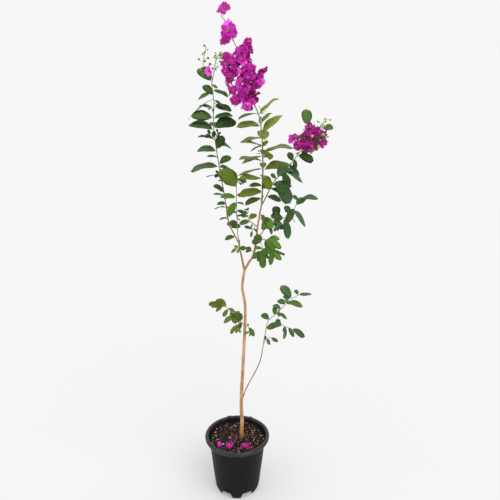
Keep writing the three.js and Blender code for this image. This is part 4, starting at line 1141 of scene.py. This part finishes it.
def petal_skin(name, shade):
    """Thin crinkled petal, matt: a painted glow for light through it, painted highlight and shade
    on its crinkles.
    """
    material, add = new_material(name)
    place = add("TexCoord", {}, "Object")
    creases = add("TexNoise", {"Vector": place, "Scale": 1 / (3 * MM), "Detail": 3})
    # Painted highlight and shade: the petal is paler on the crests of its creases and darker in
    # their hollows.
    amount = add("MapRange", {"Value": creases, "From Min": 0.3, "From Max": 0.7,
                              "To Min": 0.86, "To Max": 1.2})
    tint = add("HueSaturation", {"Color": linear(shade), "Value": amount})
    finish_material(add, creases, 0.4, 0.5, {
        "Base Color": tint, "Roughness": 0.55, "Specular IOR Level": 0.12,
        "Sheen Weight": 0.12, "Sheen Roughness": 0.4, "Sheen Tint": linear("#ff9cf4"),
        # Painted glow: the petal gives off a little light of its own colour, standing for light
        # that comes through it.
        "Emission Color": linear(shade), "Emission Strength": PAINTED_PETAL_GLOW,
    })
    return material


petal_materials = [petal_skin(f"petal_{i}", shade) for i, shade in enumerate(PETAL_TONES)]
tuft_materials = [leafy("stamen_gold", "#d8942a", 0.5, 0.1),
                  leafy("anther_brown", "#8a5a1c", 0.6, 0.1)]
cup_materials = [leafy("flower_cup_green", "#6d7a34", 0.5, 0.2),
                 leafy("bud_olive", "#7d7c34", 0.45, 0.2), leafy("bud_red", "#8a4a3c", 0.45, 0.2),
                 leafy("bud_pale", "#a4b45c", 0.45, 0.2)]


def petal(pile, centre, out, side, up, radius, roll, finish):
    """One petal: a thin claw, then a fan whose edge and face are crinkled."""
    lift, droop, waves, turn, depth, span, skew = [
        roll(*limits) for limits in PETAL_CHANCE.values()]
    depth *= radius
    points = []
    for i in range(FAN_ROWS):
        part = i / (FAN_ROWS - 1)
        for j in range(FAN_COLUMNS):
            s = 2 * j / (FAN_COLUMNS - 1) - 1
            fan = span * math.sin(math.pi * min(0.16 + 0.6 * part, 1)) if i else 0.1
            ragged = 0.07 * math.sin(5.3 * s + turn) + 0.04 * math.sin(12 * s + 3 * turn)
            edge = 1 - 0.2 * s * s + ragged * part
            reach = radius * (CLAW + (edge - CLAW) * part)
            height = radius * (lift * part - droop * part * part)
            height += depth * part * math.sin(waves * s * math.pi + turn)
            height += depth * 0.6 * math.sin(4 * part + 2 * s + turn * 2)
            sideways = radius * (fan * s + skew * part * part)
            points.append(centre + out * reach + side * sideways + up * height)
    pile.add(points, grid_faces(FAN_ROWS, FAN_COLUMNS), finish)
    width = radius * CLAW_WIDTH
    low = points[FAN_COLUMNS // 2]
    claw = [centre - side * width * 0.6, centre + side * width * 0.6,
            low + side * width, low - side * width]
    pile.add(claw, [(0, 1, 2, 3)], finish)


def sides_of(facing):
    """Two directions square to the one that a flower faces, and to each other."""
    across = NO_FACING.cross(facing).normalized()
    return across, facing.cross(across)


def flower(piles, head, facing, radius, roll, twist, bright=0):
    """A flower: petals, stamens and cup, facing along the given direction.

    The petals of many flowers hide their stamens.
    """
    across, upright = sides_of(facing)
    # Painted light: a flower takes a lighter tone of petal where its panicle is lit more.
    tone = roll(0, 1) + bright
    tuft = 1 if roll(0, 1) < TUFT_SHARE else HIDDEN_TUFT
    for k in range(PETALS):
        out = turned(across, upright, twist + math.tau * k / PETALS + roll(*PETAL_TURN))
        side = facing.cross(out)
        finish = min(max(int(4 * (0.65 * tone + 0.35 * roll(0, 1))), 0), 3)
        leaning = (out + facing * roll(*PETAL_LEAN)).normalized()
        petal(piles["petals"], head, leaning, side, leaning.cross(side),
              radius * roll(*PETAL_SIZE), roll, finish)
    for k in range(STAMENS):
        out, lean = turned(across, upright, roll(0, math.tau)), roll(*STAMEN_LEAN)
        aim = (facing + out * lean).normalized()
        tip = head + aim * (radius * tuft * roll(*STAMEN_LENGTH))
        side = aim.cross(NO_FACING).normalized() * STAMEN_RADIUS
        other = aim.cross(side)
        piles["tufts"].add([head + side, head - side, head + other, tip],
                           [(0, 2, 3), (2, 1, 3), (1, 0, 3)], 0)
        bead = ANTHER_SIZE * tuft
        piles["tufts"].add([*[tip + way * bead * 4 for way in (side, -side, other, -other)],
                            tip + aim * bead * 2, tip - aim * bead], ANTHER_FACES, int(k % 3 == 0))
    round_form(piles["buds"], head, facing, radius * CUP_RADIUS, CUP_RINGS, 0, tooth=0.5)


def round_form(pile, head, facing, radius, rings, finish, tooth=0, rib=0):
    """A green cup, open at the front in six teeth, or a round bud with six faint ribs."""
    across, upright = sides_of(facing)
    points = []
    for depth, reach in rings:
        for k in range(BUD_SIDES):
            deep = depth - (tooth if depth > 0 and k % 2 else 0)
            wide = radius * reach * (1 + rib * (k % 2))
            points.append(head + facing * radius * deep
                          + turned(across, upright, math.tau * k / BUD_SIDES) * wide)
    faces = grid_faces(len(rings), BUD_SIDES, closed=True)
    faces.append(tuple(range(BUD_SIDES))[::-1])
    if not tooth:
        faces.append(tuple(range(len(points) - BUD_SIDES, len(points))))
    pile.add(points, faces, finish)


def bud(pile, head, facing, radius, finish):
    round_form(pile, head, facing, radius, BUD_RINGS, finish, rib=0.07)


def stalk(pile, foot, head, sag, radius=SIDE_STALK_RADIUS):
    """A thin stalk from foot to head, bending a little on its way."""
    line = Route([foot, foot.lerp(head, 0.55) + Vector((0, 0, -sag)), head])
    tube(pile, line, lambda u, angle, middle: radius * (1.1 - 0.3 * u), 5, 4, lambda u: 3)
    return line


def bud_tone(mass, own):
    """The mass's own tone of bud, or one by chance."""
    return mass["bud_tone"] or 1 + min(int(own(0, 3)), 2)


def cyme(piles, mass, beside, foot, head, facing, radius, own):
    """A stalk with its end flower, and the smaller flowers and buds beside it."""
    line = stalk(piles["stems"], foot, head - facing * radius * 0.25, own(-2, 2), STALK_RADIUS)
    # Painted light: flowers higher in a panicle take lighter petals, and those of a shaded panicle
    # darker ones.
    low, high = mass["space"][0][2]
    bright = blend(mass["bright"], (head.z - low) / (high - low))
    flower(piles, head, facing, radius, own, own(0, math.pi), bright)
    across, upright = sides_of(facing)
    for _ in range(beside):
        out = turned(across, upright, own(0, math.tau))
        place = head + out * radius * own(0.45, 1.0) - facing * radius * own(0, 0.8)
        aim = (facing + out * own(0.5, 1.3)).normalized()
        if not ball_fits(place, radius * 0.5, mass["space"]):
            continue
        stalk(piles["stems"], line.at(own(0.2, 0.6)), place - aim * radius * 0.2, own(-1, 1))
        if own(0, 1) < mass["open"]:
            flower(piles, place, aim, radius * own(0.6, 0.9), own, own(0, math.pi), bright)
        else:
            tone = bud_tone(mass, own)
            bud(piles["buds"], place, aim, BUD_RADIUS * own(*mass["bud_size"]), tone)


def grow_blossom(stem, mass, grown, roll, piles, own):
    """The solids' flowers and buds, in the same places, each as a finer cluster."""
    line, space = stem["line"], mass["space"]
    places = [(kind, i, stem[kind]) for kind in ("blooms", "buds")
              for i in range(stem.get(kind, 0))]
    for winds, (kind, i, count) in enumerate(places, 1):
        part = i / (count - 1) if count > 1 else 1
        u = blend(stem["span"], part)
        along, right, front = line.frame(u)
        angle = math.radians(GOLDEN_ANGLE * winds + roll(*BLOOM_CHANCE["angle"]))
        rise = math.radians(roll(*BLOOM_CHANCE["rise"]))
        reach = blend(stem["reach"], part) * roll(*BLOOM_CHANCE["reach"])
        size = roll(*BLOOM_CHANCE["size"])
        heading = turned(turned(right, front, angle), along, rise)
        middle = line.stepped(stem["steps"], u)
        if kind == "buds":
            head = middle + heading * reach * BUD_REACH
            if ball_fits(head, BUD_RADIUS, space):
                stalk(piles["stems"], line.at(u), head, own(-1.5, 1.5))
                bud(piles["buds"], head, heading, BUD_RADIUS * size, bud_tone(mass, own))
            continue
        head = middle + heading * reach
        facing = (heading + BLOOM_TURN).normalized()
        if stem["size"] > LARGE_SIZE:
            facing = (heading * 0.4 + LARGE_TURN).normalized()
        radius = stem["size"] / 2 * size
        apart = all((other - head).length > BLOOM_APART * radius for other in grown)
        if apart and ball_fits(head, radius * BLOOM_INSIDE, space):
            grown.append(head)
            roll(0, math.pi)  # the solid's flower is turned by this
            beside = mass["beside"] if count > 1 else 0
            cyme(piles, mass, beside, line.at(u), head, facing, radius, own)


# Each mass is grown now, and its leaves, stems, petals, stamens and buds become
# one piece each. A kind's materials come with its slot, where that isn't the mass's.
# What the solids have is drawn from the mass's seed, and the finer detail from its own.
FINE_SEED, FINE_SEED_STEP = 7919, 104
FINISHES = {"leaves": (leaf_materials, None), "stems": (stem_materials, None),
            "petals": (petal_materials, "blossom"), "tufts": (tuft_materials, "blossom"),
            "buds": (cup_materials, "bud")}
for order, (name, mass) in enumerate(MASSES.items()):
    roll, own = dice(mass["seed"]), dice(FINE_SEED + FINE_SEED_STEP * order)
    others = [spot for other, spots in stem_spots.items() if other != name for spot in spots]
    near = [np.array(part) for part in zip(*limb_spots, *others)]
    piles = {kind: Pile() for kind in FINISHES}
    leaves, flowers = [], []
    for stem in mass["stems"]:
        rings = max(3, int(stem["line"].length / STEM_STEP))
        tube(piles["stems"], stem["line"], stem_radius(stem), STEM_SIDES, rings,
             stem_tone(mass, stem))
        if "leaves" in stem:
            grow_leaves(stem, mass, near, leaves, roll, piles["leaves"], own)
        if "blooms" in stem or "buds" in stem:
            grow_blossom(stem, mass, flowers, roll, piles, own)
    for stem in mass["stems"]:
        if "leaves" in stem:
            grow_side_shoots(stem, mass, near, leaves, own, piles["leaves"], piles["stems"])
    for kind, pile in piles.items():
        if pile.faces:
            finish, slot = FINISHES[kind]
            pile.make(f"{name}_{kind}", finish, slot or mass["slot"], [name])


# ---- The fallen blossom ------------------------------------------------------
# Flowers that have dropped and lie face up on the damp bark, and loose petals.

FALLEN = {
    "fallen_blossom_middle": ((24, -46), 30),
    "fallen_blossom_left": ((-22, -45), 30),
    "fallen_blossom_edge": ((-54, -38), 18),
}
FALLEN_SEED = 500
HEAD_HEIGHT = 4.2  # of a dropped flower's middle over the soil
LOOSE_PETALS = [((-62, -32), 7), ((-34, -50), 8), ((-8, 6), 6), ((15, 10), 6), ((38, -52), 6)]
LOOSE_SEED = 97
LOOSE_HEIGHT = 1.6

for name, ((x, y), size) in FALLEN.items():
    own = dice(FALLEN_SEED + size + int(abs(x)))
    piles = {kind: Pile() for kind in ("petals", "tufts", "buds")}
    head = Vector((x, y, soil_height(x, y) + HEAD_HEIGHT))
    facing = Vector((own(-0.25, 0.25), own(-0.5, -0.1), 1)).normalized()
    flower(piles, head, facing, size / 2, own, own(0, math.pi))
    for kind, pile in piles.items():
        pile.make(f"{name}_{kind}", FINISHES[kind][0], "blossom", [name])

loose_pile = Pile()
own = dice(LOOSE_SEED)
for (x, y), size in LOOSE_PETALS:
    turn = own(0, math.tau)
    out = Vector((math.cos(turn), math.sin(turn), 0.15)).normalized()
    side = Vector((0, 0, 1)).cross(out).normalized()
    place = Vector((x, y, soil_height(x, y) + LOOSE_HEIGHT))
    petal(loose_pile, place, out, side, out.cross(side), size, own, 1)
loose_pile.make("loose_petals", petal_materials, "blossom", ["fallen_blossom_edge"])


# ---- The studio --------------------------------------------------------------
# A plain pale floor under an even pale sky. A broad sun from the front right and
# a weaker one from the left light the floor evenly, as bright as the sky. The
# camera looks slightly down.

SKY_LIGHT = 0.93  # a pale sky that is just short of white
SUNS = {
    "sun_right": {"toward": Vector((0.55, -0.75, 1.15)), "strength": 1.5, "angle": 46},
    "sun_left": {"toward": Vector((-0.9, -0.5, 0.6)), "strength": 0.6, "angle": 70},
}
FLOOR_SHADE = 0.5  # of the light; the rest of its paleness is its own
FLOOR_RADIUS = 12
FLOOR_SIDES = 96
FLOOR_DROP = 0.0005  # below the pot's feet

floor_light = SKY_LIGHT
for name, sun in SUNS.items():
    data = bpy.data.lights.new(name, "SUN")
    data.energy = sun["strength"]
    data.angle = math.radians(sun["angle"])
    light = bpy.data.objects.new(name, data)
    light.rotation_euler = sun["toward"].to_track_quat("Z", "Y").to_euler()
    bpy.context.scene.collection.objects.link(light)
    floor_light += sun["strength"] * sun["toward"].normalized().z / math.pi

floor_mesh = bpy.data.meshes.new("floor")
edge = [turned(FLOOR_RADIUS * Vector((1, 0, 0)), FLOOR_RADIUS * Vector((0, 1, 0)),
               math.tau * k / FLOOR_SIDES) - Vector((0, 0, FLOOR_DROP))
        for k in range(FLOOR_SIDES)]
floor_mesh.from_pydata(edge, [], [tuple(range(FLOOR_SIDES))])
floor = bpy.data.objects.new("floor", floor_mesh)
bpy.context.scene.collection.objects.link(floor)
floor_paint, add = new_material("pale_floor")
add("OutputMaterial", {"Surface": add("BsdfPrincipled", {
    "Base Color": (FLOOR_SHADE, FLOOR_SHADE, FLOOR_SHADE, 1), "Roughness": 0.9,
    "Specular IOR Level": 0.0, "Emission Color": (1, 1, 1, 1),
    "Emission Strength": SKY_LIGHT - FLOOR_SHADE * floor_light,
})})
floor_mesh.materials.append(floor_paint)

scene = bpy.context.scene
sky = bpy.data.worlds.new("pale_sky")
sky.use_nodes = True
sky.node_tree.nodes["Background"].inputs["Color"].default_value = (1, 1, 1, 1)
sky.node_tree.nodes["Background"].inputs["Strength"].default_value = SKY_LIGHT
scene.world = sky
scene.view_settings.view_transform = "Standard"

CAMERA_PLACE = (0.040, -1.190, 1.000)
CAMERA_TILT = 11  # degrees below level
CAMERA_LENS = 30.24
camera_data = bpy.data.cameras.new("camera")
camera_data.lens = CAMERA_LENS
camera_data.sensor_width = 36
camera = bpy.data.objects.new("camera", camera_data)
camera.location = CAMERA_PLACE
camera.rotation_euler = (math.radians(90 - CAMERA_TILT), 0, 0)
scene.collection.objects.link(camera)
scene.camera = camera
